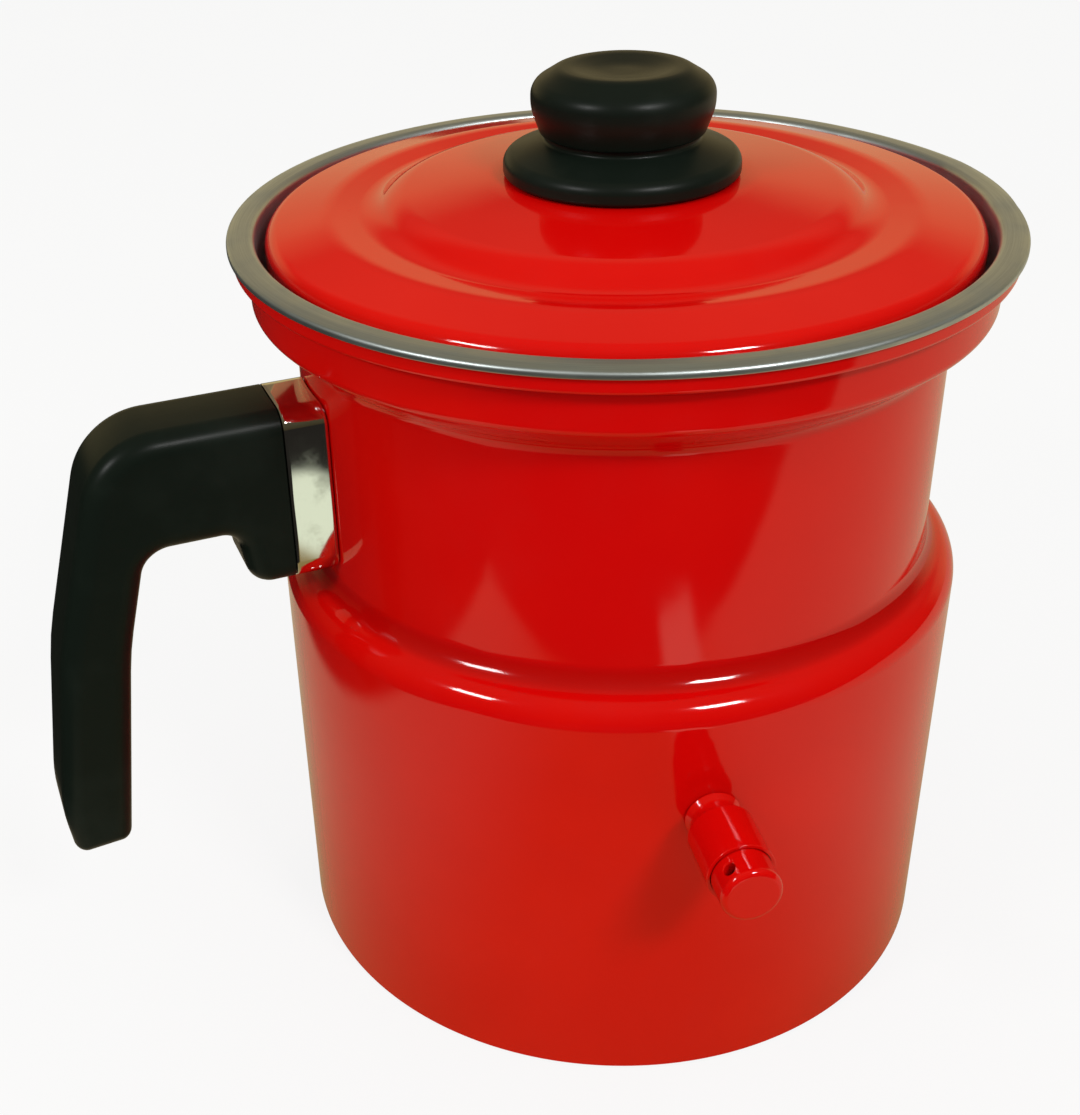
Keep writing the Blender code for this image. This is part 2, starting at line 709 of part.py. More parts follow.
def build_handle():
    """The black grip on its chromed guard, screwed from below to a bracket on the neck."""
    frame = add_empty("handle_frame", (0, 0, 0), Matrix.Rotation(math.pi, 4, "Z"))
    build_bracket(frame)
    build_guard(frame)
    build_grip(frame)
    washer_bottom = HANDLE_BOTTOM + HEAD_HOLE_DEPTH - SEAM - WASHER_THICKNESS
    washer = add_washer("handle_washer", HANDLE_WASHER_RADIUS, frame)
    washer.location = (SCREW_PLACE, 0, washer_bottom)
    head_face = washer_bottom - SEAM
    screw = add_screw("handle_screw", TANG_TOP + HANDLE_SCREW_BITE - head_face, frame)
    screw.location = (SCREW_PLACE, 0, head_face)


def box_between(name, low, high, parent):
    """A plain block between two opposite corners."""
    bm = bmesh.new()
    bmesh.ops.create_cube(bm, size=1)
    bmesh.ops.scale(bm, vec=high - low, verts=bm.verts)
    bmesh.ops.translate(bm, vec=(high + low) / 2, verts=bm.verts)
    return add_object(name, bm, parent)


def build_bracket(frame):
    """A curved plate on the neck with a flat tang that reaches through the guard into the grip."""
    inner = NECK_RADIUS + SEAM
    outer = inner + BRACKET_THICKNESS
    middle = (HANDLE_BOTTOM + HANDLE_TOP) / 2
    low, high = middle - BRACKET_HEIGHT / 2, middle + BRACKET_HEIGHT / 2
    spread = BRACKET_WIDTH / inner
    bm = bmesh.new()
    section = [(inner, low), (outer, low), (outer, high), (inner, high)]
    verts = [bm.verts.new((radius, 0, height)) for radius, height in section]
    face = bm.faces.new(verts)
    bmesh.ops.rotate(bm, verts=verts, cent=(0, 0, 0), matrix=Matrix.Rotation(-spread / 2, 3, "Z"))
    bmesh.ops.spin(
        bm,
        geom=verts + list(face.edges) + [face],
        cent=(0, 0, 0),
        axis=(0, 0, 1),
        angle=spread,
        steps=BRACKET_STRIPS,
    )
    bracket = add_object("handle_bracket", bm, frame)
    half = TANG_WIDTH / 2
    tang_low = Vector((inner + BRACKET_THICKNESS / 2, -half, TANG_BOTTOM))
    tang_high = Vector((inner + TANG_LENGTH, half, TANG_TOP))
    tang = hide_cutter(box_between("tang_former", tang_low, tang_high, frame))
    apply_boolean(bracket, tang, "UNION")
    thread = rod(SCREW_RADIUS + SEAM, TANG_BOTTOM - TANG_THICKNESS, TANG_TOP + TANG_THICKNESS)
    at_screw = Matrix.Translation((SCREW_PLACE, 0, 0))
    apply_boolean(bracket, add_cutter("thread_cutter", thread, frame, at_screw), "DIFFERENCE")
    give_finish(bracket, STEEL, 0.35, 1.0)


def build_guard(frame):
    """The chromed sleeve between neck and grip, its inner end cut to the round of the neck."""
    low = Vector((GRIP_START - SEAM, 0, HANDLE_BOTTOM))
    high = Vector((GRIP_START - SEAM, 0, HANDLE_TOP))
    wall_up = Vector((0, 0, GUARD_WALL))
    half = HANDLE_WIDTH / 2
    outer = rounded_oblong(low, high, half, HANDLE_ROUND)
    inner = rounded_oblong(low + wall_up, high - wall_up, half - GUARD_WALL, HANDLE_ROUND - GUARD_WALL)
    saddle = NECK_RADIUS + SEAM
    rings = [outer, seat_on_neck(outer, saddle), seat_on_neck(inner, saddle), inner]
    bm = bmesh.new()
    loops = [[bm.verts.new(point) for point in ring] for ring in rings]
    for near, far in zip(loops, loops[1:] + loops[:1]):
        for index, vert in enumerate(near):
            bm.faces.new((near[index - 1], vert, far[index], far[index - 1]))
    guard = add_object("handle_guard", bm, frame)
    give_finish(guard, (0.80, 0.80, 0.80), 0.06, 1.0)


def seat_on_neck(ring, radius):
    """Slides each point of a ring inwards until it lies on the neck's round."""
    return [Vector((math.sqrt(radius**2 - point.y**2), point.y, point.z)) for point in ring]


def grip_outlines():
    """The grip's underside and its back, both from the guard to the tip."""
    bar_bottom = HANDLE_TOP - BAR_THICKNESS
    lug_end = GRIP_START + LUG_LENGTH
    arch_start = lug_end + LUG_SLOPE
    bend_run = GRIP_START + LEG_BEND_RUN
    bend = HANDLE_TOP - LEG_BEND_DROP
    tip_run = GRIP_START + TIP_RUN
    tip = HANDLE_TOP - TIP_DROP
    under = [
        (GRIP_START, HANDLE_BOTTOM, 0),
        (lug_end, HANDLE_BOTTOM, LUG_ROUND),
        (arch_start, bar_bottom, ARCH_START_ROUND),
        (arch_start + ARCH_RUN, bar_bottom, ARCH_ROUND),
        (bend_run - LEG_THICKNESS, bend, LEG_BEND_ROUND),
        (tip_run - TIP_THICKNESS, tip + TIP_SLOPE, 0),
    ]
    back = [
        (GRIP_START, HANDLE_TOP, 0),
        (GRIP_START + ELBOW_RUN, HANDLE_TOP, ELBOW_ROUND),
        (bend_run, bend, LEG_BEND_ROUND),
        (GRIP_START + LEG_BELLY_RUN, HANDLE_TOP - LEG_BELLY_DROP, LEG_BELLY_ROUND),
        (tip_run, tip, 0),
    ]
    return rounded_path(under), rounded_path(back)


def running_lengths(path):
    """How far along its outline each point lies, as a share of the whole."""
    lengths = [0.0]
    for start, end in zip(path, path[1:]):
        lengths.append(lengths[-1] + (end - start).length)
    return [length / lengths[-1] for length in lengths], lengths[-1]


def point_at(path, shares, share):
    piece = max(place for place in range(len(path) - 1) if shares[place] <= share + 1e-9)
    part = (share - shares[piece]) / (shares[piece + 1] - shares[piece])
    return path[piece].lerp(path[piece + 1], part)


def grip_stations(under, back):
    """Pairs of points across the grip, one for each turn of either outline and along long runs."""
    under_shares, under_length = running_lengths(under)
    back_shares, back_length = running_lengths(back)
    length = min(under_length, back_length)
    stops = [0.0]
    for share in sorted(under_shares + back_shares):
        gap = share - stops[-1]
        if gap * length < STATION_LEAST:
            continue
        parts = math.ceil(gap * length / STATION_STEP)
        start = stops[-1]
        stops += [start + gap * part / parts for part in range(1, parts + 1)]
    stops[-1] = 1.0
    return [(point_at(under, under_shares, stop), point_at(back, back_shares, stop)) for stop in stops]


def build_grip(frame):
    """The moulded grip: a tongue fills the guard, a slot takes the tang, a sunk hole the screw."""
    rings = []
    for low, high in grip_stations(*grip_outlines()):
        ends = Vector((low.x, 0, low.y)), Vector((high.x, 0, high.y))
        rings.append(rounded_oblong(*ends, HANDLE_WIDTH / 2, HANDLE_ROUND))
    grip = lofted("handle_grip", rings, frame, TIP_ROUND)

    fit = GUARD_WALL + SEAM
    half = HANDLE_WIDTH / 2 - fit
    tongue_rings = []
    for reach in (GRIP_START - TONGUE_LENGTH, GRIP_START + TONGUE_LENGTH / 2):
        low = Vector((reach, 0, HANDLE_BOTTOM + fit))
        high = Vector((reach, 0, HANDLE_TOP - fit))
        tongue_rings.append(rounded_oblong(low, high, half, HANDLE_ROUND - fit))
    tongue = hide_cutter(lofted("tongue_former", tongue_rings, frame))
    apply_boolean(grip, tongue, "UNION")

    half_slot = TANG_WIDTH / 2 + SEAM
    slot_low = Vector((NECK_RADIUS, -half_slot, TANG_BOTTOM - SEAM))
    slot_high = Vector((NECK_RADIUS + TANG_LENGTH + 2 * SEAM, half_slot, TANG_TOP + SEAM))
    slot = hide_cutter(box_between("tang_slot_cutter", slot_low, slot_high, frame))
    apply_boolean(grip, slot, "DIFFERENCE")
    seat = HANDLE_BOTTOM + HEAD_HOLE_DEPTH
    hole_top = TANG_TOP + HANDLE_SCREW_BITE + SEAM
    head_hole = HANDLE_WASHER_RADIUS + HEAD_HOLE_PLAY
    shank_hole = SCREW_RADIUS + SEAM
    stepped = [
        (0, HANDLE_BOTTOM - HEAD_HOLE_DEPTH),
        (head_hole, HANDLE_BOTTOM - HEAD_HOLE_DEPTH),
        (head_hole, seat),
        (shank_hole, seat),
        (shank_hole, hole_top),
        (0, hole_top),
    ]
    at_screw = Matrix.Translation((SCREW_PLACE, 0, 0))
    apply_boolean(grip, add_cutter("screw_hole_cutter", stepped, frame, at_screw), "DIFFERENCE")
    give_finish(grip, BLACK, 0.4, 0.0)


clear_scene()
build_jacket()
build_pot()
build_base()
build_lid()
build_whistle()
build_handle()
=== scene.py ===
import json
import math

import bmesh
import bpy
from mathutils import Matrix, Vector


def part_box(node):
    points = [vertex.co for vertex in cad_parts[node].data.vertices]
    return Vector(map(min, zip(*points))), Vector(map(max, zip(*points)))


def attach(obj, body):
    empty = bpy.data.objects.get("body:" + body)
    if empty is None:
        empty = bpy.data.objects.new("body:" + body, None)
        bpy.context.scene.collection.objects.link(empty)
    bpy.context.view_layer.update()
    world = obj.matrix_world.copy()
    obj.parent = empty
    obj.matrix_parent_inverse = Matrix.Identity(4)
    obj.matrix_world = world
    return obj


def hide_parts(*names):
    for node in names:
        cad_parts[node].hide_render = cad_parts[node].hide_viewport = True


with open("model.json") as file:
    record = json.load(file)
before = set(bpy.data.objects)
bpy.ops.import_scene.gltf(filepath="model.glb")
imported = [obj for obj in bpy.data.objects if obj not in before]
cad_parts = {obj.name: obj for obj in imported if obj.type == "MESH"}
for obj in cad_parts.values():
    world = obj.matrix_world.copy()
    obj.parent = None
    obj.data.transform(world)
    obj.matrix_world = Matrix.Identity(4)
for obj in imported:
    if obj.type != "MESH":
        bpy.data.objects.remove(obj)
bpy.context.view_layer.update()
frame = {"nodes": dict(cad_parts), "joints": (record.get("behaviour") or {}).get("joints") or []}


# Outer jacket
# One steel shell, drawn and spun: the wide water jacket, a round shoulder, the neck, a flared collar and
# the band under the rim, with a pouring lip pressed opposite the handle. It is coated red and stoved, so
# its bends are soft and its surface waves a little. Its creases are painted a darker red as shade.

SEAM = 0.0003
ARC_STEP = math.radians(4)
ARC_LEAD = 0.0005
SHARP_BEND = math.radians(32)
FLAT_SHARE = 0.48
WELD = 1e-6
SPECK = 1e-7
BIG_TURN = 256
HOLE_TURN = 64

jacket_low, jacket_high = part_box("outer_jacket")
BAND_RADIUS = jacket_high.y
JACKET_TOP = jacket_high.z
JACKET_FOOT = jacket_low.z
JACKET_WALL = 0.0008
BAND_WIDTH = 0.0031
BAND_HEIGHT = 0.0044
BAND_ROUND = 0.0010
COLLAR_HEIGHT = 0.0092
FLARE_WIDTH = 0.0088
FLARE_RISE = 0.0068
FLARE_ROUND = 0.0045
COLLAR_ROUND = 0.0025
NECK_HEIGHT = 0.0526
CREASE_ROUND = 0.0060
SHOULDER_WIDTH = 0.0076
SHOULDER_FALL = 0.0037
SHOULDER_ROUND = 0.0064
LIP_REACH = 0.0026
LIP_DIP = 0.0007
LIP_HALF_ANGLE = math.radians(22.5)

COLLAR_TOP = JACKET_TOP - BAND_HEIGHT
FLARE_TOP = COLLAR_TOP - COLLAR_HEIGHT
NECK_TOP = FLARE_TOP - FLARE_RISE
SHOULDER = NECK_TOP - NECK_HEIGHT
COLLAR_RADIUS = BAND_RADIUS - BAND_WIDTH
NECK_RADIUS = COLLAR_RADIUS - FLARE_WIDTH
BODY_RADIUS = NECK_RADIUS + SHOULDER_WIDTH

RED = (0.585, 0.0010, 0.0008, 1)
WARM_RED = (0.645, 0.0042, 0.0014, 1)
# Painted shade: the darker red painted into the creases.
CREASE_SHADE_RED = (0.340, 0.0008, 0.0008, 1)
LACQUER_ROUGHNESS = 0.075
CREASE_REACH = 0.0040
BAND_CREASE_REACH = 0.0016
CREASE_SHADE_DEPTH = 0.75
PATCH_SIZE = 0.045
PATCH_DEPTH = 0.55
SMEAR_SIZE = 0.019
SMEAR_DEPTH = 0.05
PEEL_SIZE = 0.0016
PEEL_DEPTH = 1.4e-6
WAVE_SIZE = 0.0130
WAVE_DEPTH = 2.6e-5
NIB_SPACING = 0.0110
NIB_RADIUS = 0.00045
NIB_HEIGHT = 2.2e-5


class Wire:
    """A socket in a node tree: Python's operators add Math nodes to it, and node() adds any other node."""

    def __init__(self, tree, socket=None):
        self.tree = tree
        self.socket = socket

    def node(self, kind, settings=None, sockets=None, out=0):
        """Adds a node, sets it up, fills its sockets with values or links, and returns one output."""
        made = self.tree.nodes.new(kind)
        for name, value in (settings or {}).items():
            if name == "stops":
                lay_stops(made.color_ramp, value)
            else:
                setattr(made, name, value)
        for name, value in (sockets or {}).items():
            if isinstance(value, Wire):
                self.tree.links.new(value.socket, made.inputs[name])
            else:
                made.inputs[name].default_value = value
        return Wire(self.tree, made.outputs[out]) if made.outputs else made

    def other(self, name):
        """Another output of the same node."""
        return Wire(self.tree, self.socket.node.outputs[name])

    def math(self, operation, *values):
        return self.node("ShaderNodeMath", {"operation": operation}, dict(enumerate(values)))

    def __add__(self, other):
        return self.math("ADD", self, other)

    def __sub__(self, other):
        return self.math("SUBTRACT", self, other)

    def __rsub__(self, other):
        return self.math("SUBTRACT", other, self)

    def __mul__(self, other):
        return self.math("MULTIPLY", self, other)

    def __truediv__(self, other):
        return self.math("DIVIDE", self, other)

    def __rtruediv__(self, other):
        return self.math("DIVIDE", other, self)

    def __abs__(self):
        return self.math("ABSOLUTE", self)

    __radd__ = __add__
    __rmul__ = __mul__

    def root(self):
        return self.math("SQRT", self)

    def wave(self, pitch):
        """A sine of this wire that repeats after one pitch in metres."""
        return self.math("SINE", self * (math.tau / pitch))

    def fade(self, start, end):
        """Rises smoothly from 0 to 1 between two values of this wire."""
        limits = {"Value": self, "From Min": start, "From Max": end}
        return self.node("ShaderNodeMapRange", {"interpolation_type": "SMOOTHSTEP"}, limits)

    def noise(self, size, detail=2.0, roughness=0.5):
        """Noise from 0 to 1 at this place, with grains of about one size in metres."""
        sockets = {"Vector": self, "Scale": 1 / size, "Detail": detail, "Roughness": roughness}
        return self.node("ShaderNodeTexNoise", None, sockets)

    def blend(self, first, second):
        """Mixes two colours by this wire."""
        sockets = {"Factor": self, 6: first, 7: second}
        return self.node("ShaderNodeMix", {"data_type": "RGBA"}, sockets, out=2)


def lay_stops(ramp, stops):
    """Gives a colour ramp its stops, each a place and a colour."""
    while len(ramp.elements) > 1:
        ramp.elements.remove(ramp.elements[-1])
    for index, (place, colour) in enumerate(stops):
        element = ramp.elements.new(place) if index else ramp.elements[0]
        element.position = place
        element.color = colour


def new_finish(name, **constants):
    """A material with plain values on its shader. Returns it, its shader and the place on the piece."""
    material = bpy.data.materials.new(name)
    material.use_nodes = True
    shader = material.node_tree.nodes["Principled BSDF"]
    for socket, value in constants.items():
        shader.inputs[socket.replace("_", " ")].default_value = value
    place = Wire(material.node_tree).node("ShaderNodeTexCoord", out="Object")
    return material, shader, place


def feed(shader, **wires):
    """Links the wires that change over the surface to the shader."""
    for socket, wire in wires.items():
        wire.tree.links.new(wire.socket, shader.inputs[socket.replace("_", " ")])


def relief(height):
    """A bump whose height is in metres."""
    return height.node("ShaderNodeBump", None, {"Strength": 1.0, "Distance": 1.0, "Height": height})


def polar(place):
    """Distance from the pot's axis, and height."""
    across = place.node("ShaderNodeSeparateXYZ", None, {"Vector": place})
    x, y, z = across, across.other("Y"), across.other("Z")
    return (x * x + y * y).root(), z


def lacquer(name, creases):
    """Glossy red stoving lacquer; each crease is a (radius, height, reach) circle painted darker red as
    shade.
    """
    material, shader, place = new_finish(name, IOR=1.5)
    radius, height = polar(place)
    crease_shade = None
    for crease_radius, crease_height, reach in creases:
        run, rise = radius - crease_radius, height - crease_height
        near = 1 - (run * run + rise * rise).fade(0, reach * reach)
        crease_shade = near if crease_shade is None else crease_shade.math("MAXIMUM", crease_shade, near)
    patches = place.noise(PATCH_SIZE, 3.0)
    colour = (patches.fade(0.35, 0.75) * PATCH_DEPTH).blend(RED, WARM_RED)
    # Painted shade: the red is blended darker towards each crease.
    if crease_shade is not None:
        colour = (crease_shade * CREASE_SHADE_DEPTH).blend(colour, CREASE_SHADE_RED)
    smears = place.noise(SMEAR_SIZE, 4.0, 0.6).fade(0.45, 0.8)
    nib = place.node(
        "ShaderNodeTexVoronoi", None, {"Vector": place, "Scale": 1 / NIB_SPACING, "Randomness": 1.0}
    )
    chosen = nib.node("ShaderNodeSeparateColor", None, {"Color": nib.other("Color")}).fade(0.90, 0.92)
    dome = chosen * (1 - nib.fade(0, NIB_RADIUS / NIB_SPACING))
    peel = place.noise(PEEL_SIZE, 1.0)
    wave = place.noise(WAVE_SIZE, 1.0)
    surface = peel * PEEL_DEPTH + wave * WAVE_DEPTH + dome * NIB_HEIGHT
    roughness = LACQUER_ROUGHNESS + smears * SMEAR_DEPTH
    feed(shader, Base_Color=colour, Roughness=roughness, Normal=relief(surface))
    return material


def corner_points(before, corner, after, radius, even=False):
    """One corner of an outline as an arc, with a point on each side that keeps the flats flat."""
    into = (corner - before).normalized()
    out = (after - corner).normalized()
    turn = math.atan2(into.x * out.y - into.y * out.x, into.dot(out))
    steps = max(math.ceil(abs(turn) / ARC_STEP), 1)
    half = math.tan(abs(turn) / 2)
    room = FLAT_SHARE * min((corner - before).length, (after - corner).length)
    reach = min(radius * half, room)
    if reach < WELD:
        return [corner] * (steps + 3 if even else 1)
    start = corner - into * reach
    centre = start + math.copysign(reach / half, turn) * Vector((-into.y, into.x))
    arc = [centre + Matrix.Rotation(turn * step / steps, 2) @ (start - centre) for step in range(steps + 1)]
    lead = min(ARC_LEAD, (room - reach) * 0.5)
    return [start - into * lead, *arc, arc[-1] + out * lead]


def outline(corners, even=False):
    """An open outline through (across, up, rounding) corners, with its two ends kept sharp."""
    places = [Vector(corner[:2]) for corner in corners]
    path = [places[0]]
    for index in range(1, len(corners) - 1):
        path += corner_points(*places[index - 1 : index + 2], corners[index][2], even)
    return path + [places[-1]]


def offset(corners, distance):
    """The same open outline, moved to its left by a distance, with its roundings kept concentric."""
    places = [Vector(corner[:2]) for corner in corners]
    last = len(places) - 1
    moved = []
    for index, place in enumerate(places):
        into = places[max(index, 1)] - places[max(index, 1) - 1]
        out = places[min(index + 1, last)] - places[min(index + 1, last) - 1]
        turn = math.atan2(into.x * out.y - into.y * out.x, into.dot(out))
        left = Vector((-into.y, into.x)).normalized() + Vector((-out.y, out.x)).normalized()
        shift = left.normalized() * (distance / math.cos(turn / 2))
        rounding = corners[index][2]
        if rounding:
            rounding = max(rounding - math.copysign(distance, turn), 0)
        moved.append((*(place + shift), rounding))
    return moved


def sheet(corners, wall):
    """The closed outline of a sheet of metal, one wall thick, to the left of its outer corners."""
    inner = outline(offset(corners, wall))
    outer = outline(corners)
    return outer + inner[::-1] + outer[:1]


def turned_shell_tree():
    """Geometry nodes that spin an outline round Z and press the pouring lip into it."""
    tree = bpy.data.node_groups.new("Turned shell", "GeometryNodeTree")
    tree.interface.new_socket("Shell", in_out="OUTPUT", socket_type="NodeSocketGeometry")
    tree.interface.new_socket("Outline", in_out="INPUT", socket_type="NodeSocketGeometry")
    tree.interface.new_socket("Segments", in_out="INPUT", socket_type="NodeSocketInt")
    for label in ("Lip Reach", "Lip Dip", "Lip Half Angle", "Lip Foot", "Lip Rise"):
        tree.interface.new_socket(label, in_out="INPUT", socket_type="NodeSocketFloat")
    tree.interface.new_socket("Finish", in_out="INPUT", socket_type="NodeSocketMaterial")

    given = Wire(tree).node("NodeGroupInput", out="Outline")
    segments = given.other("Segments")
    count = given.node(
        "GeometryNodeAttributeDomainSize", {"component": "MESH"}, {"Geometry": given}, "Point Count"
    )
    grid = given.node(
        "GeometryNodeMeshGrid", None, {"Vertices X": segments + 1, "Vertices Y": count}, "Mesh"
    )
    index = given.node("GeometryNodeInputIndex")
    spoke = index.math("FLOOR", index / count)
    position = given.node("GeometryNodeInputPosition")
    sampled = given.node(
        "GeometryNodeSampleIndex",
        {"data_type": "FLOAT_VECTOR", "domain": "POINT"},
        {"Geometry": given, "Value": position, "Index": index - spoke * count},
    )
    point = sampled.node("ShaderNodeSeparateXYZ", None, {"Vector": sampled})
    radius, height = point, point.other("Z")

    angle = spoke * math.tau / segments
    from_lip = angle.math("MINIMUM", angle, math.tau - angle) / given.other("Lip Half Angle")
    lift = (height - given.other("Lip Foot")) / given.other("Lip Rise")
    share = given.node("ShaderNodeClamp", None, {"Value": 1 - from_lip}) * lift.fade(0, 1)
    pulled = radius + share * given.other("Lip Reach")
    place = given.node(
        "ShaderNodeCombineXYZ",
        None,
        {
            "X": pulled * angle.math("COSINE", angle),
            "Y": pulled * angle.math("SINE", angle),
            "Z": height - share * given.other("Lip Dip"),
        },
    )
    shell = grid.node("GeometryNodeSetPosition", None, {"Geometry": grid, "Position": place})
    shell = shell.node("GeometryNodeMergeByDistance", None, {"Geometry": shell, "Distance": WELD})
    shell = shell.node("GeometryNodeSetShadeSmooth", None, {"Geometry": shell, "Shade Smooth": True})
    shell = shell.node("GeometryNodeRealizeInstances", None, {"Geometry": shell})
    sockets = {"Geometry": shell, "Material": given.other("Finish")}
    shell = shell.node("GeometryNodeSetMaterial", None, sockets)
    shell.node("NodeGroupOutput", None, {"Shell": shell})
    return tree


TURNED_SHELL = turned_shell_tree()


def new_piece(name, mesh):
    piece = bpy.data.objects.new(name, mesh)
    bpy.context.scene.collection.objects.link(piece)
    return piece


def make_plain(piece):
    """Turns what a piece's modifiers make into its own mesh, closed and with its faces outwards."""
    bpy.context.view_layer.update()
    made = bpy.data.meshes.new_from_object(piece.evaluated_get(bpy.context.evaluated_depsgraph_get()))
    piece.modifiers.clear()
    piece.data = made
    finishes = [finish for finish in made.materials if finish]
    made.materials.clear()
    for finish in finishes:
        made.materials.append(finish)
    bm = bmesh.new()
    bm.from_mesh(made)
    bmesh.ops.remove_doubles(bm, verts=bm.verts, dist=WELD)
    bmesh.ops.dissolve_degenerate(bm, edges=bm.edges, dist=SPECK)
    bmesh.ops.recalc_face_normals(bm, faces=bm.faces)
    bm.to_mesh(made)
    bm.free()
    made.shade_smooth()
    made.set_sharp_from_angle(angle=SHARP_BEND)
    return piece


def turned(name, path, finish, segments=BIG_TURN, lip=False, place=None):
    """Spins an outline of (radius, height) points, which runs up the piece's outer side, into a piece."""
    mesh = bpy.data.meshes.new(name)
    mesh.from_pydata([(point[0], 0, point[1]) for point in path], [], [])
    piece = new_piece(name, mesh)
    modifier = piece.modifiers.new("turned", "NODES")
    modifier.node_group = TURNED_SHELL
    values = {
        "Segments": segments,
        "Lip Reach": LIP_REACH if lip else 0.0,
        "Lip Dip": LIP_DIP if lip else 0.0,
        "Lip Half Angle": LIP_HALF_ANGLE,
        "Lip Foot": FLARE_TOP,
        "Lip Rise": COLLAR_HEIGHT,
        "Finish": finish,
    }
    for socket in TURNED_SHELL.interface.items_tree:
        if socket.name in values:
            modifier[socket.identifier] = values[socket.name]
    make_plain(piece)
    piece.data.transform(place or Matrix())
    return piece


def cut(piece, cutter, operation="DIFFERENCE"):
    """Cuts a closed shape out of a piece, or joins it to the piece, and removes the shape."""
    modifier = piece.modifiers.new("cut", "BOOLEAN")
    modifier.object = cutter
    modifier.operation = operation
    modifier.solver = "EXACT"
    make_plain(piece)
    bpy.data.objects.remove(cutter)


def round_bar(*steps):
    """The outline of a solid bar that runs along Z through (radius, height) steps."""
    return [Vector((0, steps[0][1])), *map(Vector, steps), Vector((0, steps[-1][1]))]


def hand_over(piece, body, slot, *nodes):
    """Seats a finished piece on its body in place of the plain nodes that it stands for."""
    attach(piece, body)
    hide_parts(*nodes)


whistle_out = Vector(next(joint["axis"] for joint in frame["joints"] if joint["name"] == "whistle_pull"))
tube_low, tube_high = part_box("filler_tube")
WHISTLE_HEIGHT = (tube_low.z + tube_high.z) / 2
WHISTLE_PLACE = Matrix.Translation(whistle_out * BODY_RADIUS + Vector((0, 0, WHISTLE_HEIGHT))) @ (
    whistle_out.to_track_quat("Z", "Y").to_matrix().to_4x4()
)
TUBE_RADIUS = 0.0052

jacket_corners = [
    (BODY_RADIUS, JACKET_FOOT, 0),
    (BODY_RADIUS, SHOULDER - SHOULDER_FALL, SHOULDER_ROUND),
    (NECK_RADIUS, SHOULDER, CREASE_ROUND),
    (NECK_RADIUS, NECK_TOP, FLARE_ROUND),
    (COLLAR_RADIUS, FLARE_TOP, COLLAR_ROUND),
    (COLLAR_RADIUS, COLLAR_TOP, BAND_ROUND),
    (BAND_RADIUS, COLLAR_TOP, BAND_ROUND),
    (BAND_RADIUS, JACKET_TOP, 0),
]
# Creases where the red is painted darker as shade.
jacket_creases = [
    (NECK_RADIUS, SHOULDER, CREASE_REACH),
    (COLLAR_RADIUS, COLLAR_TOP, BAND_CREASE_REACH),
]
jacket_lacquer = lacquer("jacket_lacquer", jacket_creases)
jacket = turned("jacket_shell", sheet(jacket_corners, JACKET_WALL), jacket_lacquer, lip=True)
filler_hole = round_bar((TUBE_RADIUS + SEAM, -BODY_RADIUS / 4), (TUBE_RADIUS + SEAM, BODY_RADIUS / 4))
cut(jacket, turned("filler_hole", filler_hole, None, HOLE_TURN, place=WHISTLE_PLACE))
hand_over(jacket, "pot_body", "red_lacquer", "outer_jacket")


# Inner pot
# The stainless pot that holds the milk. It is drawn from one sheet and nests in the jacket's neck and
# collar. Its rim is rolled out over the jacket's edge as a slightly crowned satin ring. It was polished
# while it turned, so fine scratches run round it.

POT_WALL = 0.0008
POT_CORNER_ROUND = 0.0110
ROLL_ROUND = 0.0015
RIM_OVERHANG = 0.0010
RIM_DROP = 0.0012
RIM_ROUND = 0.0009
RIM_CROWN = 0.0006
RIM_CREST = 0.0012
RIM_CREST_ROUND = 0.0060
HEM_ROUND = 0.0005
STEEL = (0.64, 0.71, 0.71, 1)
DULL_STEEL = (0.46, 0.51, 0.50, 1)
STEEL_ROUGHNESS = 0.34
SCRATCH_PITCH = 0.00022
SCRATCH_TURNS = 4.0
SCRATCH_DEPTH = 1.1e-6
HANDLING_SIZE = 0.012


def spun_steel(name, bright, dull, roughness):
    """Steel with fine scratches round the axis, which have no start or end."""
    material, shader, place = new_finish(name, Metallic=1.0)
    radius, height = polar(place)
    away = place.node("ShaderNodeSeparateXYZ", None, {"Vector": place})
    along = {
        "X": away / radius * SCRATCH_TURNS,
        "Y": away.other("Y") / radius * SCRATCH_TURNS,
        "Z": (radius + height) / SCRATCH_PITCH,
    }
    spun = place.node("ShaderNodeCombineXYZ", None, along)
    scratches = spun.noise(1.0, 3.0, 0.7)
    handling = place.noise(HANDLING_SIZE, 3.0).fade(0.4, 0.75)
    colour = (scratches.fade(0.35, 0.7) * 0.5 + handling * 0.35).blend(bright, dull)
    grey = roughness + scratches * 0.14 + handling * 0.08
    feed(shader, Base_Color=colour, Roughness=grey, Normal=relief(scratches * SCRATCH_DEPTH))
    return material


pot_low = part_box("inner_pot")[0]
nested = offset(jacket_corners, JACKET_WALL + SEAM)
neck_turn, collar_turn = nested[3], nested[4]
RIM_UNDERSIDE = JACKET_TOP + SEAM
RIM_RADIUS = BAND_RADIUS + RIM_OVERHANG
RIM_TOP = RIM_UNDERSIDE + POT_WALL
pot_corners = [
    (0, pot_low.z, 0),
    (neck_turn[0], pot_low.z, POT_CORNER_ROUND),
    neck_turn,
    collar_turn,
    (collar_turn[0], RIM_UNDERSIDE, ROLL_ROUND - POT_WALL),
    (BAND_RADIUS + SEAM, RIM_UNDERSIDE, 0),
]
hem = [
    (BAND_RADIUS + SEAM, RIM_UNDERSIDE, 0),
    (BAND_RADIUS + SEAM, RIM_UNDERSIDE - RIM_DROP, 0),
    (RIM_RADIUS, RIM_UNDERSIDE - RIM_DROP, HEM_ROUND),
    (RIM_RADIUS, RIM_TOP - RIM_CROWN, RIM_ROUND),
    (BAND_RADIUS - RIM_CREST, RIM_TOP, RIM_CREST_ROUND),
    (BAND_RADIUS - 2 * RIM_CREST, RIM_TOP, 0),
]
pot_inside = outline(offset(pot_corners, POT_WALL))
pot_path = outline(pot_corners)[:-1] + outline(hem)[:-1] + pot_inside[:-1][::-1]
satin_steel = spun_steel("satin_steel", STEEL, DULL_STEEL, STEEL_ROUGHNESS)
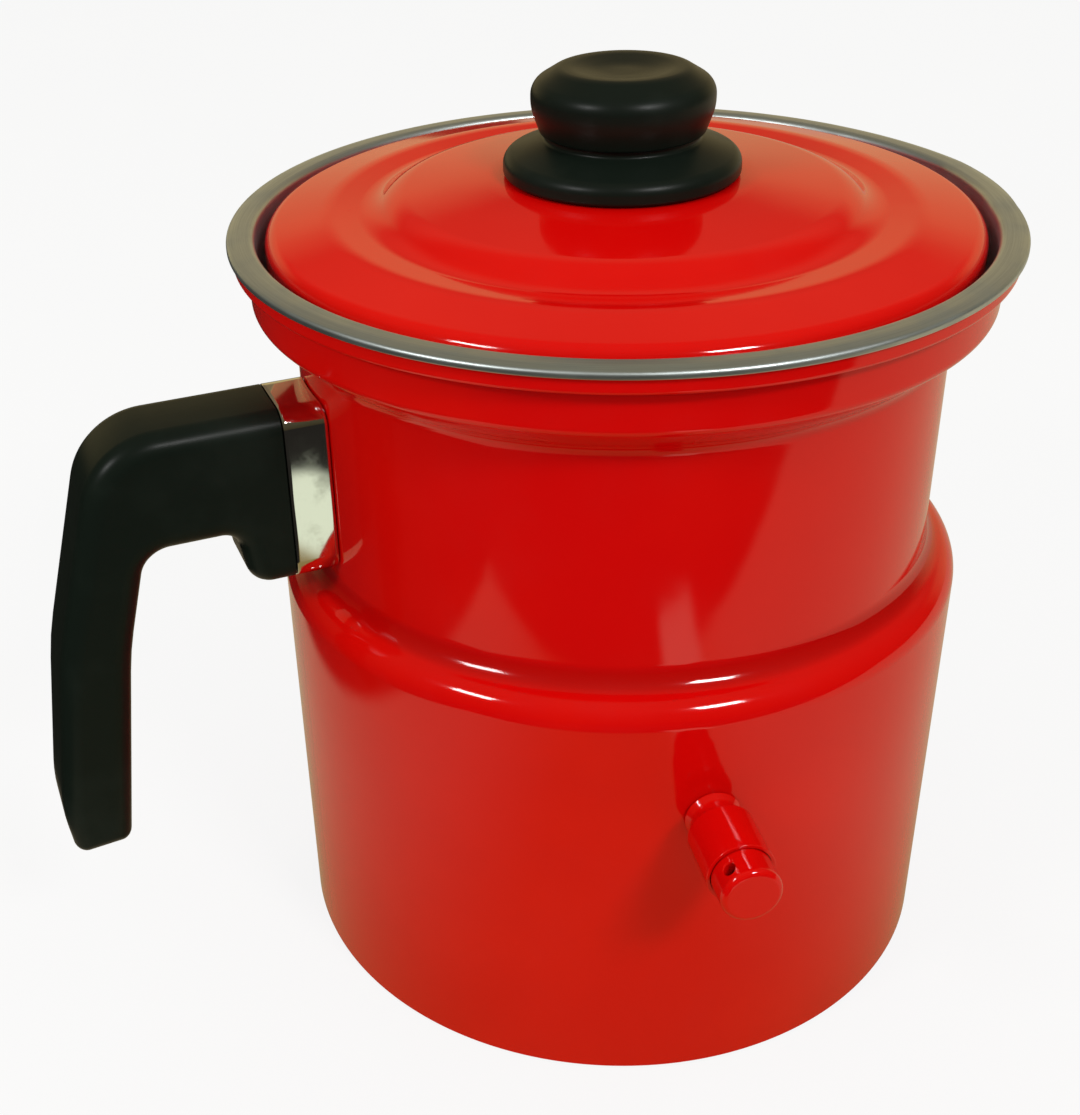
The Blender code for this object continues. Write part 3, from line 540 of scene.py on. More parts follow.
pot = turned("pot_shell", pot_path, satin_steel, lip=True)
hand_over(pot, "pot_body", "satin_steel", "inner_pot")


# Base
# A dished steel plate closes the water space under the pot, spun into the jacket's foot. Below it sits a
# flat aluminium disc that spreads the hob's heat. It was faced on a lathe, which left fine rings.

PLATE_WALL = 0.0008
PLATE_ROUND = 0.0030
DISC_ROUND = 0.0012
DISC_EDGE_ROUND = 0.0003
PLATE_STEEL = (0.45, 0.45, 0.44, 1)
HEATED_STEEL = (0.30, 0.28, 0.25, 1)
PLATE_ROUGHNESS = 0.30
ALUMINIUM = (0.60, 0.60, 0.61, 1)
SCORCHED = (0.40, 0.37, 0.33, 1)
ALUMINIUM_ROUGHNESS = 0.34
SCORCH_SIZE = 0.030
SCORCH_START = 0.020
SCORCH_FULL = 0.070
RING_PITCH = 0.00045
RING_DEPTH = 4.0e-6

plate_low, plate_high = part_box("bottom_plate")
plate_corners = [
    (0, plate_low.z, 0),
    (plate_high.y, plate_low.z, PLATE_ROUND),
    (plate_high.y, plate_high.z, 0),
]
plate_path = outline(plate_corners) + outline(offset(plate_corners, PLATE_WALL))[::-1]
plate_steel = spun_steel("plate_steel", PLATE_STEEL, HEATED_STEEL, PLATE_ROUGHNESS)
plate = turned("base_plate", plate_path, plate_steel)
hand_over(plate, "pot_body", "base_steel", "bottom_plate")

disc_low, disc_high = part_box("heat_disc")
disc_corners = [
    (0, disc_low.z, 0),
    (disc_high.y, disc_low.z, DISC_ROUND),
    (disc_high.y, disc_high.z, DISC_EDGE_ROUND),
    (0, disc_high.z, 0),
]
disc_finish, disc_shader, disc_place = new_finish("turned_aluminium", Metallic=1.0)
disc_radius = polar(disc_place)[0]
rings = disc_radius.wave(RING_PITCH)
scorch = disc_place.noise(SCORCH_SIZE, 4.0, 0.6).fade(0.45, 0.75)
scorch = scorch * disc_radius.fade(SCORCH_START, SCORCH_FULL)
feed(
    disc_shader,
    Base_Color=(scorch * 0.6).blend(ALUMINIUM, SCORCHED),
    Roughness=ALUMINIUM_ROUGHNESS + scorch * 0.2,
    Normal=relief(rings * RING_DEPTH),
)
disc = turned("hob_disc", outline(disc_corners), disc_finish)
hand_over(disc, "pot_body", "base_aluminium", "heat_disc")


# Filler tube
# A short steel tube for the water, flanged inside the jacket, with a welded bead outside where it leaves
# the wall. It is coated with the jacket, and the bead is covered by the same red.

SMALL_TURN = 96
TUBE_WALL = 0.0010
TUBE_REACH = 0.0135
TUBE_COLLAR_WIDTH = 0.0012
TUBE_COLLAR_LENGTH = 0.0016
TUBE_FLANGE_WIDTH = 0.0023
TUBE_FLANGE_THICKNESS = 0.0008
TUBE_END_ROUND = 0.0003

tube_bore = TUBE_RADIUS - TUBE_WALL
flange_radius = TUBE_RADIUS + TUBE_FLANGE_WIDTH
flange_front = math.sqrt((BODY_RADIUS - JACKET_WALL) ** 2 - flange_radius**2) - BODY_RADIUS - SEAM
flange_back = flange_front - TUBE_FLANGE_THICKNESS
tube_corners = [
    (tube_bore, flange_back, 0),
    (flange_radius, flange_back, TUBE_END_ROUND),
    (flange_radius, flange_front, TUBE_END_ROUND),
    (TUBE_RADIUS, flange_front, 0),
    (TUBE_RADIUS, SEAM, 0),
    (TUBE_RADIUS + TUBE_COLLAR_WIDTH, SEAM, TUBE_END_ROUND),
    (TUBE_RADIUS, SEAM + TUBE_COLLAR_LENGTH, TUBE_COLLAR_LENGTH),
    (TUBE_RADIUS, TUBE_REACH, TUBE_END_ROUND),
    (tube_bore, TUBE_REACH, TUBE_END_ROUND),
    (tube_bore, flange_back, 0),
]
whistle_lacquer = lacquer("whistle_lacquer", [])
filler = turned("filler_spout", outline(tube_corners), whistle_lacquer, SMALL_TURN, place=WHISTLE_PLACE)
hand_over(filler, "pot_body", "red_lacquer", "filler_tube")


# Handle guard
# A sleeve of chromed steel between the neck and the grip. It is pressed from sheet, and its inner end is
# cut to the round of the neck. It keeps the flame and the hot jacket from the moulded grip.

HANDLE_ROUND = 0.0045
GUARD_WALL = 0.0008
GUARD_EDGE_ROUND = 0.0003
GUARD_ARC_STEPS = 10
GUARD_FACE_STEPS = 8
CHROME = (0.78, 0.78, 0.76, 1)
SMUDGED_CHROME = (0.60, 0.60, 0.57, 1)
CHROME_ROUGHNESS = 0.045
SMUDGE_SIZE = 0.006
BUFFING_SIZE = 0.009
BUFFING_DEPTH = 1.6e-5

guard_low, guard_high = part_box("handle_guard")
HANDLE_BOTTOM = guard_low.z
HANDLE_TOP = guard_high.z
HANDLE_HALF = guard_high.y
GUARD_END = -guard_low.x


def rounded_oblong(shrink):
    """Points (sideways, height) round the handle's section, drawn in by a distance."""
    half = HANDLE_HALF - shrink
    tall = (HANDLE_TOP - HANDLE_BOTTOM) / 2 - shrink
    rounding = HANDLE_ROUND - shrink
    middle = (HANDLE_TOP + HANDLE_BOTTOM) / 2
    points = []
    for quarter, (side, level) in enumerate([(1, 1), (-1, 1), (-1, -1), (1, -1)]):
        centre = Vector((side * (half - rounding), middle + level * (tall - rounding)))
        for step in range(GUARD_ARC_STEPS + 1):
            turn = math.pi / 2 * (quarter + step / GUARD_ARC_STEPS)
            points.append(centre + rounding * Vector((math.cos(turn), math.sin(turn))))
        start = points[-1]
        out = Vector((-math.sin(turn), math.cos(turn)))
        span = 2 * ((half, tall)[quarter % 2] - rounding)
        for step in range(GUARD_FACE_STEPS + 1):
            run = ARC_LEAD + (span - 2 * ARC_LEAD) * step / GUARD_FACE_STEPS
            points.append(start + out * run)
    return points


def skin_rings(name, rings, closed=False):
    """Joins equal rings of points in order, and closes the ends or joins the last to the first."""
    bm = bmesh.new()
    loops = [[bm.verts.new(point) for point in ring] for ring in rings]
    pairs = list(zip(loops, loops[1:]))
    if closed:
        pairs.append((loops[-1], loops[0]))
    else:
        bm.faces.new(loops[0])
        bm.faces.new(loops[-1])
    for low, high in pairs:
        for index, vert in enumerate(low):
            bm.faces.new((low[index - 1], vert, high[index], high[index - 1]))
    mesh = bpy.data.meshes.new(name)
    bm.to_mesh(mesh)
    bm.free()
    return make_plain(new_piece(name, mesh))


def guard_ring(shrink, inset, on_neck):
    """A ring of the guard at its outer end, or at its inner end where it follows the neck."""
    ring = []
    for side, height in rounded_oblong(shrink):
        if on_neck:
            run = math.sqrt((NECK_RADIUS + SEAM + inset) ** 2 - side**2)
        else:
            run = GUARD_END - inset
        ring.append((-run, side, height))
    return ring


def guard_rings():
    """Rings round the sheet: up its outside, round its outer edge, back inside and round its inner edge."""
    rounds = [(0, GUARD_EDGE_ROUND + ARC_LEAD)]
    for part in range(3):
        slant = math.pi / 4 * part
        rounds.append((GUARD_EDGE_ROUND * (1 - math.cos(slant)), GUARD_EDGE_ROUND * (1 - math.sin(slant))))
    rings = [guard_ring(*drawn_in, True) for drawn_in in reversed(rounds)]
    rings += [guard_ring(*drawn_in, False) for drawn_in in rounds]
    rings.append(guard_ring(GUARD_WALL, 0, False))
    rings.append(guard_ring(GUARD_WALL, 0, True))
    return rings


chrome, chrome_shader, chrome_place = new_finish("mirror_chrome", Metallic=1.0)
smudges = chrome_place.noise(SMUDGE_SIZE, 4.0, 0.65).fade(0.45, 0.75)
buffing = chrome_place.noise(BUFFING_SIZE, 1.0) * BUFFING_DEPTH
feed(
    chrome_shader,
    Base_Color=(smudges * 0.5).blend(CHROME, SMUDGED_CHROME),
    Roughness=CHROME_ROUGHNESS + smudges * 0.07,
    Normal=relief(buffing),
)
guard = skin_rings("chrome_guard", guard_rings(), closed=True)
guard.data.materials.append(chrome)
hand_over(guard, "pot_body", "guard_chrome", "handle_guard")


# Grip
# The grip is moulded in black thermoset: it leaves the guard level, turns down at the elbow and ends in a
# leg beside the pot. A tongue fills the guard's end, a slot takes the bracket's tang, and a sunk hole in
# the underside takes the screw. The mould left a fine satin grain.

GRIP_GRAIN = 0.00042
GRIP_GRAIN_DEPTH = 3.0e-6
GRIP_ROUGHNESS = 0.28
GRIP_GLOSS = 0.11
RUBBED_SIZE = 0.016
DRIFT_SIZE = 0.0045
BLACK = (0.0054, 0.0090, 0.0062, 1)
WORN_BLACK = (0.0110, 0.0165, 0.0120, 1)
TONGUE_LENGTH = 0.0040
BAR_THICKNESS = 0.0268
LUG_LENGTH = 0.0094
LUG_SLOPE = 0.0022
LUG_ROUND = 0.0056
ARCH_START_ROUND = 0.0040
ARCH_RUN = 0.0197
ARCH_ROUND = 0.0070
ELBOW_RUN = 0.0390
ELBOW_ROUND = 0.0175
LEG_BEND_RUN = 0.0533
LEG_BEND_DROP = 0.0505
LEG_BEND_ROUND = 0.0900
LEG_BELLY_RUN = 0.0589
LEG_BELLY_DROP = 0.0885
LEG_BELLY_ROUND = 0.0400
TIP_RUN = 0.0575
TIP_SLOPE = 0.0010
TIP_ROUND = 0.0030
LEG_THICKNESS = 0.0157
TIP_THICKNESS = 0.0128
EDGE_STEPS = 10
FLAT_MARGIN = 0.0004
TANG_WIDTH = 0.0120
TANG_THICKNESS = 0.0022
TANG_RISE = 0.0190
TANG_LENGTH = 0.0200
SCREW_FROM_GUARD = 0.0048
HEAD_HOLE_DEPTH = 0.0085
HEAD_HOLE_PLAY = 0.0003
HANDLE_SCREW_BITE = 0.0045
SCREW_RADIUS = 0.0020
HANDLE_WASHER_RADIUS = 0.0040

GRIP_START = GUARD_END + SEAM
TANG_BOTTOM = HANDLE_BOTTOM + TANG_RISE
TANG_TOP = TANG_BOTTOM + TANG_THICKNESS
SCREW_PLACE = Vector((-(GRIP_START + SCREW_FROM_GUARD), 0, 0))
grip_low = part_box("handle_grip")[0]


def moulded_black(name, grain, depth, roughness, gloss):
    """Black thermoset with the grain of its mould, a little paler where hands rub it."""
    material, shader, place = new_finish(name, IOR=1.52, Specular_IOR_Level=gloss)
    rubbed = place.noise(RUBBED_SIZE, 3.0, 0.55).fade(0.45, 0.8)
    speckle = place.noise(grain, 2.0, 0.6)
    drift = place.noise(DRIFT_SIZE, 2.0)
    surface = speckle * depth + drift * (depth * 4)
    feed(
        shader,
        Base_Color=(rubbed * 0.5).blend(BLACK, WORN_BLACK),
        Roughness=roughness + rubbed * 0.06 + speckle * 0.06,
        Normal=relief(surface),
    )
    return material


def grip_corners():
    """The grip's side outline, from the guard along its underside, round the tip and back over its top."""
    bar_bottom = HANDLE_TOP - BAR_THICKNESS
    lug_end = GRIP_START + LUG_LENGTH
    arch_start = lug_end + LUG_SLOPE
    bend_run = GRIP_START + LEG_BEND_RUN
    bend = HANDLE_TOP - LEG_BEND_DROP
    tip_run = GRIP_START + TIP_RUN
    return [
        (GRIP_START, HANDLE_BOTTOM, 0),
        (lug_end, HANDLE_BOTTOM, LUG_ROUND),
        (arch_start, bar_bottom, ARCH_START_ROUND),
        (arch_start + ARCH_RUN, bar_bottom, ARCH_ROUND),
        (bend_run - LEG_THICKNESS, bend, LEG_BEND_ROUND),
        (tip_run - TIP_THICKNESS, grip_low.z + TIP_SLOPE, TIP_ROUND),
        (tip_run, grip_low.z, TIP_ROUND),
        (GRIP_START + LEG_BELLY_RUN, HANDLE_TOP - LEG_BELLY_DROP, LEG_BELLY_ROUND),
        (bend_run, bend, LEG_BEND_ROUND),
        (GRIP_START + ELBOW_RUN, HANDLE_TOP, ELBOW_ROUND),
        (GRIP_START, HANDLE_TOP, 0),
    ]


def grip_rings():
    """Side outlines of the grip from one flat side to the other, drawn in where its edges are rounded."""
    corners = grip_corners()
    layers = []
    for step in range(EDGE_STEPS + 1):
        slant = math.pi / 2 * step / EDGE_STEPS
        drawn_in = HANDLE_ROUND * (1 - math.cos(slant))
        side = HANDLE_HALF - HANDLE_ROUND * (1 - math.sin(slant))
        layers.append((drawn_in, side))
    layers.append((HANDLE_ROUND + FLAT_MARGIN, HANDLE_HALF))
    rings = []
    for sign, order in ((-1, reversed(layers)), (1, layers)):
        for drawn_in, side in order:
            path = outline(offset(corners, drawn_in), even=True)
            rings.append([(-point.x, sign * side, point.y) for point in path])
    return rings


def block(name, low, high):
    """A plain block between two opposite corners, to cut with."""
    bm = bmesh.new()
    bmesh.ops.create_cube(bm, size=1)
    size = Matrix.Diagonal((*(high - low), 1))
    bm.transform(Matrix.Translation((low + high) / 2) @ size)
    mesh = bpy.data.meshes.new(name)
    bm.to_mesh(mesh)
    bm.free()
    return new_piece(name, mesh)


grip_black = moulded_black("grip_black", GRIP_GRAIN, GRIP_GRAIN_DEPTH, GRIP_ROUGHNESS, GRIP_GLOSS)
grip = skin_rings("moulded_grip", grip_rings())
grip.data.materials.append(grip_black)
tongue_fit = GUARD_WALL + SEAM
tongue_rings = [
    [(-run, side, height) for side, height in rounded_oblong(tongue_fit)]
    for run in (GRIP_START - TONGUE_LENGTH, GRIP_START + TONGUE_LENGTH / 2)
]
cut(grip, skin_rings("tongue", tongue_rings), "UNION")
slot_end = NECK_RADIUS + TANG_LENGTH + 2 * SEAM
slot_half = TANG_WIDTH / 2 + SEAM
slot_low = Vector((-slot_end, -slot_half, TANG_BOTTOM - SEAM))
slot_high = Vector((-NECK_RADIUS, slot_half, TANG_TOP + SEAM))
cut(grip, block("tang_slot", slot_low, slot_high))
head_seat = HANDLE_BOTTOM + HEAD_HOLE_DEPTH
head_hole = round_bar(
    (HANDLE_WASHER_RADIUS + HEAD_HOLE_PLAY, HANDLE_BOTTOM - HEAD_HOLE_DEPTH),
    (HANDLE_WASHER_RADIUS + HEAD_HOLE_PLAY, head_seat),
    (SCREW_RADIUS + SEAM, head_seat),
    (SCREW_RADIUS + SEAM, TANG_TOP + HANDLE_SCREW_BITE + SEAM),
)
cut(grip, turned("head_hole", head_hole, None, HOLE_TURN, place=Matrix.Translation(SCREW_PLACE)))
hand_over(grip, "pot_body", "black_plastic", "handle_grip")


# Handle fixing
# A slotted pan-head screw with a washer, driven from below into the tang of a bracket that is welded to the
# neck. Screw and washer are bright steel; the bracket is plain pressed steel, hidden inside the guard.

SCREW_TURN = 64
SCREW_HEAD_RADIUS = 0.0037
SCREW_HEAD_HEIGHT = 0.0024
SCREW_HEAD_ROUND = 0.0014
SCREW_TIP_ROUND = 0.0010
SCREW_SLOT_WIDTH = 0.0010
SCREW_SLOT_DEPTH = 0.0012
WASHER_EDGE_ROUND = 0.0002
BRIGHT_STEEL = (0.62, 0.62, 0.60, 1)
RUBBED_STEEL = (0.42, 0.42, 0.40, 1)
FIXING_ROUGHNESS = 0.22
RUB_SIZE = 0.0012
RUB_DEPTH = 1.5e-6

fixing_steel, fixing_shader, fixing_place = new_finish("fixing_steel", Metallic=1.0)
rubs = fixing_place.noise(RUB_SIZE, 3.0, 0.6)
feed(
    fixing_shader,
    Base_Color=rubs.fade(0.3, 0.8).blend(BRIGHT_STEEL, RUBBED_STEEL),
    Roughness=FIXING_ROUGHNESS + rubs * 0.16,
    Normal=relief(rubs * RUB_DEPTH),
)


def steel_screw(name, node, axis):
    """A pan-head screw, head down, that fills the place of one node on a vertical axis."""
    low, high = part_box(node)
    neck = low.z + SCREW_HEAD_HEIGHT
    corners = [
        (0, low.z, 0),
        (SCREW_HEAD_RADIUS, low.z, SCREW_HEAD_ROUND),
        (SCREW_HEAD_RADIUS, neck, 0),
        (SCREW_RADIUS, neck, 0),
        (SCREW_RADIUS, high.z, SCREW_TIP_ROUND),
        (0, high.z, 0),
    ]
    at = Matrix.Translation(axis)
    screw = turned(name, outline(corners), fixing_steel, SCREW_TURN, place=at)
    reach = Vector((2 * SCREW_HEAD_RADIUS, SCREW_SLOT_WIDTH / 2, SCREW_SLOT_DEPTH))
    face = axis + Vector((0, 0, low.z))
    cut(screw, block(name + "_slot", face - reach, face + reach))
    return screw


def steel_washer(name, node, axis):
    """A flat washer with broken edges in the place of one node."""
    low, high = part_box(node)
    bore = SCREW_RADIUS + SEAM
    corners = [
        (bore, low.z, 0),
        (high.y, low.z, WASHER_EDGE_ROUND),
        (high.y, high.z, WASHER_EDGE_ROUND),
        (bore, high.z, 0),
        (bore, low.z, 0),
    ]
    return turned(name, outline(corners), fixing_steel, SCREW_TURN, place=Matrix.Translation(axis))


handle_screw = steel_screw("grip_screw", "handle_screw", SCREW_PLACE)
hand_over(handle_screw, "pot_body", "satin_steel", "handle_screw")
handle_washer = steel_washer("grip_washer", "handle_washer", SCREW_PLACE)
hand_over(handle_washer, "pot_body", "satin_steel", "handle_washer")
frame["nodes"]["handle_bracket"].data.materials.clear()
frame["nodes"]["handle_bracket"].data.materials.append(plate_steel)


# Lid
# The lid is pressed from one sheet and coated like the jacket: a straight skirt that stands inside the
# collar, a soft outer edge, a ring with a low crest, a step, and a slightly crowned middle that carries
# the knob.

LID_WALL = 0.0008
LID_SKIRT_DEPTH = 0.0150
LID_EDGE_ROUND = 0.0034
LID_CREST_RADIUS = 0.0635
LID_CREST_RISE = 0.0026
LID_CREST_ROUND = 0.0120
STEP_FOOT_RISE = 0.0019
PLATEAU_RADIUS = 0.0490
PLATEAU_RISE = 0.0056
PLATEAU_STEP_RUN = 0.0050
STEP_TOP_ROUND = 0.0100
STEP_FOOT_ROUND = 0.0080
CROWN_ROUND = 0.0600

lid_low, lid_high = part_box("lid")
knob_low, knob_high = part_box("knob")
KNOB_FLANGE_RADIUS = knob_high.y
LID_SHOULDER = lid_low.z + LID_SKIRT_DEPTH
lid_corners = [
    (lid_high.y, lid_low.z, 0),
    (lid_high.y, LID_SHOULDER, LID_EDGE_ROUND),
    (LID_CREST_RADIUS, LID_SHOULDER + LID_CREST_RISE, LID_CREST_ROUND),
    (PLATEAU_RADIUS + PLATEAU_STEP_RUN, LID_SHOULDER + STEP_FOOT_RISE, STEP_FOOT_ROUND),
    (PLATEAU_RADIUS, LID_SHOULDER + PLATEAU_RISE, STEP_TOP_ROUND),
    (KNOB_FLANGE_RADIUS, lid_high.z, CROWN_ROUND),
    (SCREW_RADIUS + SEAM, lid_high.z, 0),
]
lid_lacquer = lacquer("lid_lacquer", [])
lid = turned("lid_shell", sheet(lid_corners, LID_WALL), lid_lacquer)
hand_over(lid, "lid_body", "red_lacquer", "lid")


# Knob
# Moulded in the same black thermoset as the grip, but from a polished mould: a flange on the lid, a short
# waist, and a bulb with a dished top. A brass insert is moulded in, and a screw with a washer holds it from
# under the lid.

KNOB_TURN = 160
KNOB_FLANGE_HEIGHT = 0.0040
KNOB_FLANGE_ROUND = 0.0032
KNOB_EDGE_ROUND = 0.0009
KNOB_WAIST_RADIUS = 0.0165
KNOB_WAIST_LOW = 0.0072
KNOB_WAIST_HIGH = 0.0084
KNOB_WAIST_ROUND = 0.0025
KNOB_FOOT_RADIUS = 0.0176
KNOB_FOOT = 0.0088
KNOB_BULB_RADIUS = 0.0194
KNOB_BULB_LOW = 0.0138
KNOB_BULB_LOW_ROUND = 0.0090
KNOB_BULB_HIGH = 0.0184
KNOB_BULB_HIGH_ROUND = 0.0070
KNOB_CROWN_RADIUS = 0.0138
KNOB_CROWN_ROUND = 0.0040
KNOB_DISH_RADIUS = 0.0112
KNOB_DISH_EDGE_ROUND = 0.0100
KNOB_DISH_FLOOR = 0.0050
KNOB_DISH_DEPTH = 0.0011
KNOB_DISH_ROUND = 0.0200
KNOB_GRAIN = 0.00060
KNOB_GRAIN_DEPTH = 1.2e-6
KNOB_ROUGHNESS = 0.32
KNOB_GLOSS = 0.16
BRASS = (0.56, 0.39, 0.13, 1)
DARK_BRASS = (0.34, 0.22, 0.07, 1)
BRASS_ROUGHNESS = 0.28
TARNISH_SIZE = 0.0018

insert_low, insert_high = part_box("knob_insert")
base = knob_low.z
dish = knob_high.z - KNOB_DISH_DEPTH
pocket_radius = insert_high.y + SEAM
pocket_top = insert_high.z + SEAM
knob_corners = [
    (0, pocket_top, 0),
    (pocket_radius, pocket_top, 0),
    (pocket_radius, base, 0),
    (KNOB_FLANGE_RADIUS, base, KNOB_EDGE_ROUND),
    (KNOB_FLANGE_RADIUS, base + KNOB_FLANGE_HEIGHT, KNOB_FLANGE_ROUND),
    (KNOB_WAIST_RADIUS, base + KNOB_WAIST_LOW, KNOB_WAIST_ROUND),
    (KNOB_WAIST_RADIUS, base + KNOB_WAIST_HIGH, 0),
    (KNOB_FOOT_RADIUS, base + KNOB_FOOT, KNOB_EDGE_ROUND),
    (KNOB_BULB_RADIUS, base + KNOB_BULB_LOW, KNOB_BULB_LOW_ROUND),
    (KNOB_BULB_RADIUS, base + KNOB_BULB_HIGH, KNOB_BULB_HIGH_ROUND),
    (KNOB_CROWN_RADIUS, knob_high.z, KNOB_CROWN_ROUND),
    (KNOB_DISH_RADIUS, knob_high.z, KNOB_DISH_EDGE_ROUND),
    (KNOB_DISH_FLOOR, dish, KNOB_DISH_ROUND),
    (0, dish, 0),
]
knob_black = moulded_black("knob_black", KNOB_GRAIN, KNOB_GRAIN_DEPTH, KNOB_ROUGHNESS, KNOB_GLOSS)
knob = turned("moulded_knob", outline(knob_corners), knob_black, KNOB_TURN)
hand_over(knob, "lid_body", "black_plastic", "knob")


def ring_bar(low, high, bore, radius, rounding=0.0):
    """The closed outline of a plain ring between two heights."""
    corners = [
        (bore, low, 0),
        (radius, low, rounding),
        (radius, high, rounding),
        (bore, high, 0),
        (bore, low, 0),
    ]
    return outline(corners)


brass, brass_shader, brass_place = new_finish("turned_brass", Metallic=1.0)
tarnish = brass_place.noise(TARNISH_SIZE, 3.0, 0.6)
feed(
    brass_shader,
    Base_Color=tarnish.fade(0.35, 0.75).blend(BRASS, DARK_BRASS),
    Roughness=BRASS_ROUGHNESS + tarnish * 0.15,
)
insert_path = ring_bar(insert_low.z, insert_high.z, SCREW_RADIUS + SEAM, insert_high.y, WASHER_EDGE_ROUND)
insert = turned("brass_insert", insert_path, brass, SCREW_TURN)
hand_over(insert, "lid_body", "insert_brass", "knob_insert")
lid_screw = steel_screw("lid_screw", "knob_screw", Vector())
hand_over(lid_screw, "lid_body", "satin_steel", "knob_screw")
lid_washer = steel_washer("lid_washer", "knob_washer", Vector())
hand_over(lid_washer, "lid_body", "satin_steel", "knob_washer")


# Whistle
# A red sleeve pushes over the filler tube with a soft ring between them, and holds a closed barrel with one
# steam hole in its side. Two thin plates with a hole each sit in the barrel and make the sound.

SLEEVE_START = 0.0055
SLEEVE_LENGTH = 0.0135
SLEEVE_WALL = 0.0007
SLEEVE_MOUTH_LENGTH = 0.0018
SLEEVE_ROUND = 0.0014
SLEEVE_LIP_ROUND = 0.0002
SEAL_THICKNESS = 0.0008
BARREL_STEP = 0.0008
BARREL_LENGTH = 0.0072
BARREL_ROUND = 0.0013
BARREL_SPIGOT = 0.0050
BARREL_FACE = 0.0014
CHAMBER_RADIUS = 0.0040
REED_SEAT_DEPTH = 0.0042
REED_THICKNESS = 0.0005
REED_GAP = 0.0016
REED_HOLE_RADIUS = 0.0011
STEAM_HOLE_RADIUS = 0.0014
STEAM_HOLE_CHAMFER = 0.0003
STEAM_HOLE_FROM_END = 0.0038
STEAM_HOLE_TURN = math.radians(129)
STEAM_HOLE_SIDES = 48
SEAL_PALE = (0.66, 0.64, 0.58, 1)
SEAL_STAINED = (0.50, 0.46, 0.38, 1)
LIMESCALE_SIZE = 0.0020
SEAL_GRAIN = 0.0006
SEAL_GRAIN_DEPTH = 4e-6
SEAL_ROUGHNESS = 0.5

SLEEVE_END = SLEEVE_START + SLEEVE_LENGTH
SLEEVE_MOUTH = TUBE_RADIUS + SEAM
SLEEVE_BORE = SLEEVE_MOUTH + SEAL_THICKNESS + SEAM
SLEEVE_RADIUS = SLEEVE_BORE + SLEEVE_WALL
BARREL_RADIUS = SLEEVE_RADIUS - BARREL_STEP
BARREL_END = SLEEVE_END + BARREL_LENGTH
SPIGOT_START = SLEEVE_END - BARREL_SPIGOT
REED_SEAT = SPIGOT_START + REED_SEAT_DEPTH
REED_BORE = CHAMBER_RADIUS + 2 * SEAM + REED_THICKNESS
REED_RADIUS = REED_BORE - SEAM
sleeve_shoulder = SLEEVE_START + SLEEVE_MOUTH_LENGTH
sleeve_corners = [
    (SLEEVE_MOUTH, SLEEVE_START, 0),
    (SLEEVE_RADIUS, SLEEVE_START, SLEEVE_ROUND),
    (SLEEVE_RADIUS, SLEEVE_END, SLEEVE_LIP_ROUND),
    (SLEEVE_BORE, SLEEVE_END, 0),
    (SLEEVE_BORE, sleeve_shoulder, 0),
    (SLEEVE_MOUTH, sleeve_shoulder, 0),
    (SLEEVE_MOUTH, SLEEVE_START, 0),
]
sleeve = turned("sleeve_shell", outline(sleeve_corners), whistle_lacquer, SMALL_TURN, place=WHISTLE_PLACE)
hand_over(sleeve, "whistle_body", "red_lacquer", "whistle_sleeve")

barrel_corners = [
    (0, BARREL_END - BARREL_FACE, 0),
    (CHAMBER_RADIUS, BARREL_END - BARREL_FACE, 0),
    (CHAMBER_RADIUS, REED_SEAT, 0),
    (REED_BORE, REED_SEAT, 0),
    (REED_BORE, SPIGOT_START, 0),
    (SLEEVE_BORE - SEAM, SPIGOT_START, 0),
    (SLEEVE_BORE - SEAM, SLEEVE_END, 0),
    (BARREL_RADIUS, SLEEVE_END + SEAM, 0),
    (BARREL_RADIUS, BARREL_END, BARREL_ROUND),
    (0, BARREL_END, 0),
]
barrel = turned("barrel_shell", outline(barrel_corners), whistle_lacquer, SMALL_TURN, place=WHISTLE_PLACE)
chamfer_start = BARREL_RADIUS - STEAM_HOLE_CHAMFER
past_wall = 4 * STEAM_HOLE_CHAMFER
steam_hole = round_bar(
    (STEAM_HOLE_RADIUS, 0),
    (STEAM_HOLE_RADIUS, chamfer_start),
    (STEAM_HOLE_RADIUS + past_wall, chamfer_start + past_wall),
)
sideways = Matrix.Rotation(STEAM_HOLE_TURN, 4, "Z") @ Matrix.Rotation(math.pi / 2, 4, "Y")
hole_place = WHISTLE_PLACE @ Matrix.Translation((0, 0, BARREL_END - STEAM_HOLE_FROM_END)) @ sideways
cut(barrel, turned("steam_hole", steam_hole, None, STEAM_HOLE_SIDES, place=hole_place))
hand_over(barrel, "whistle_body", "red_lacquer", "whistle_barrel")

silicone, silicone_shader, silicone_place = new_finish("pale_silicone", IOR=1.42)
limescale = silicone_place.noise(LIMESCALE_SIZE, 3.0, 0.6).fade(0.4, 0.75)
feed(
    silicone_shader,
    Base_Color=limescale.blend(SEAL_PALE, SEAL_STAINED),
    Roughness=SEAL_ROUGHNESS + limescale * 0.15,
    Normal=relief(silicone_place.noise(SEAL_GRAIN) * SEAL_GRAIN_DEPTH),
)
seal_path = ring_bar(
    sleeve_shoulder + SEAM, TUBE_REACH, SLEEVE_MOUTH, SLEEVE_MOUTH + SEAL_THICKNESS, SEAL_THICKNESS / 4
)
seal = turned("silicone_ring", seal_path, silicone, SMALL_TURN, place=WHISTLE_PLACE)
hand_over(seal, "whistle_body", "seal_rubber", "whistle_seal")

front = REED_SEAT - SEAM - REED_THICKNESS
front_path = ring_bar(front, front + REED_THICKNESS, REED_HOLE_RADIUS, REED_RADIUS)
front_plate = turned("front_reed", front_path, fixing_steel, SMALL_TURN, place=WHISTLE_PLACE)
hand_over(front_plate, "whistle_body", "satin_steel", "whistle_front_plate")

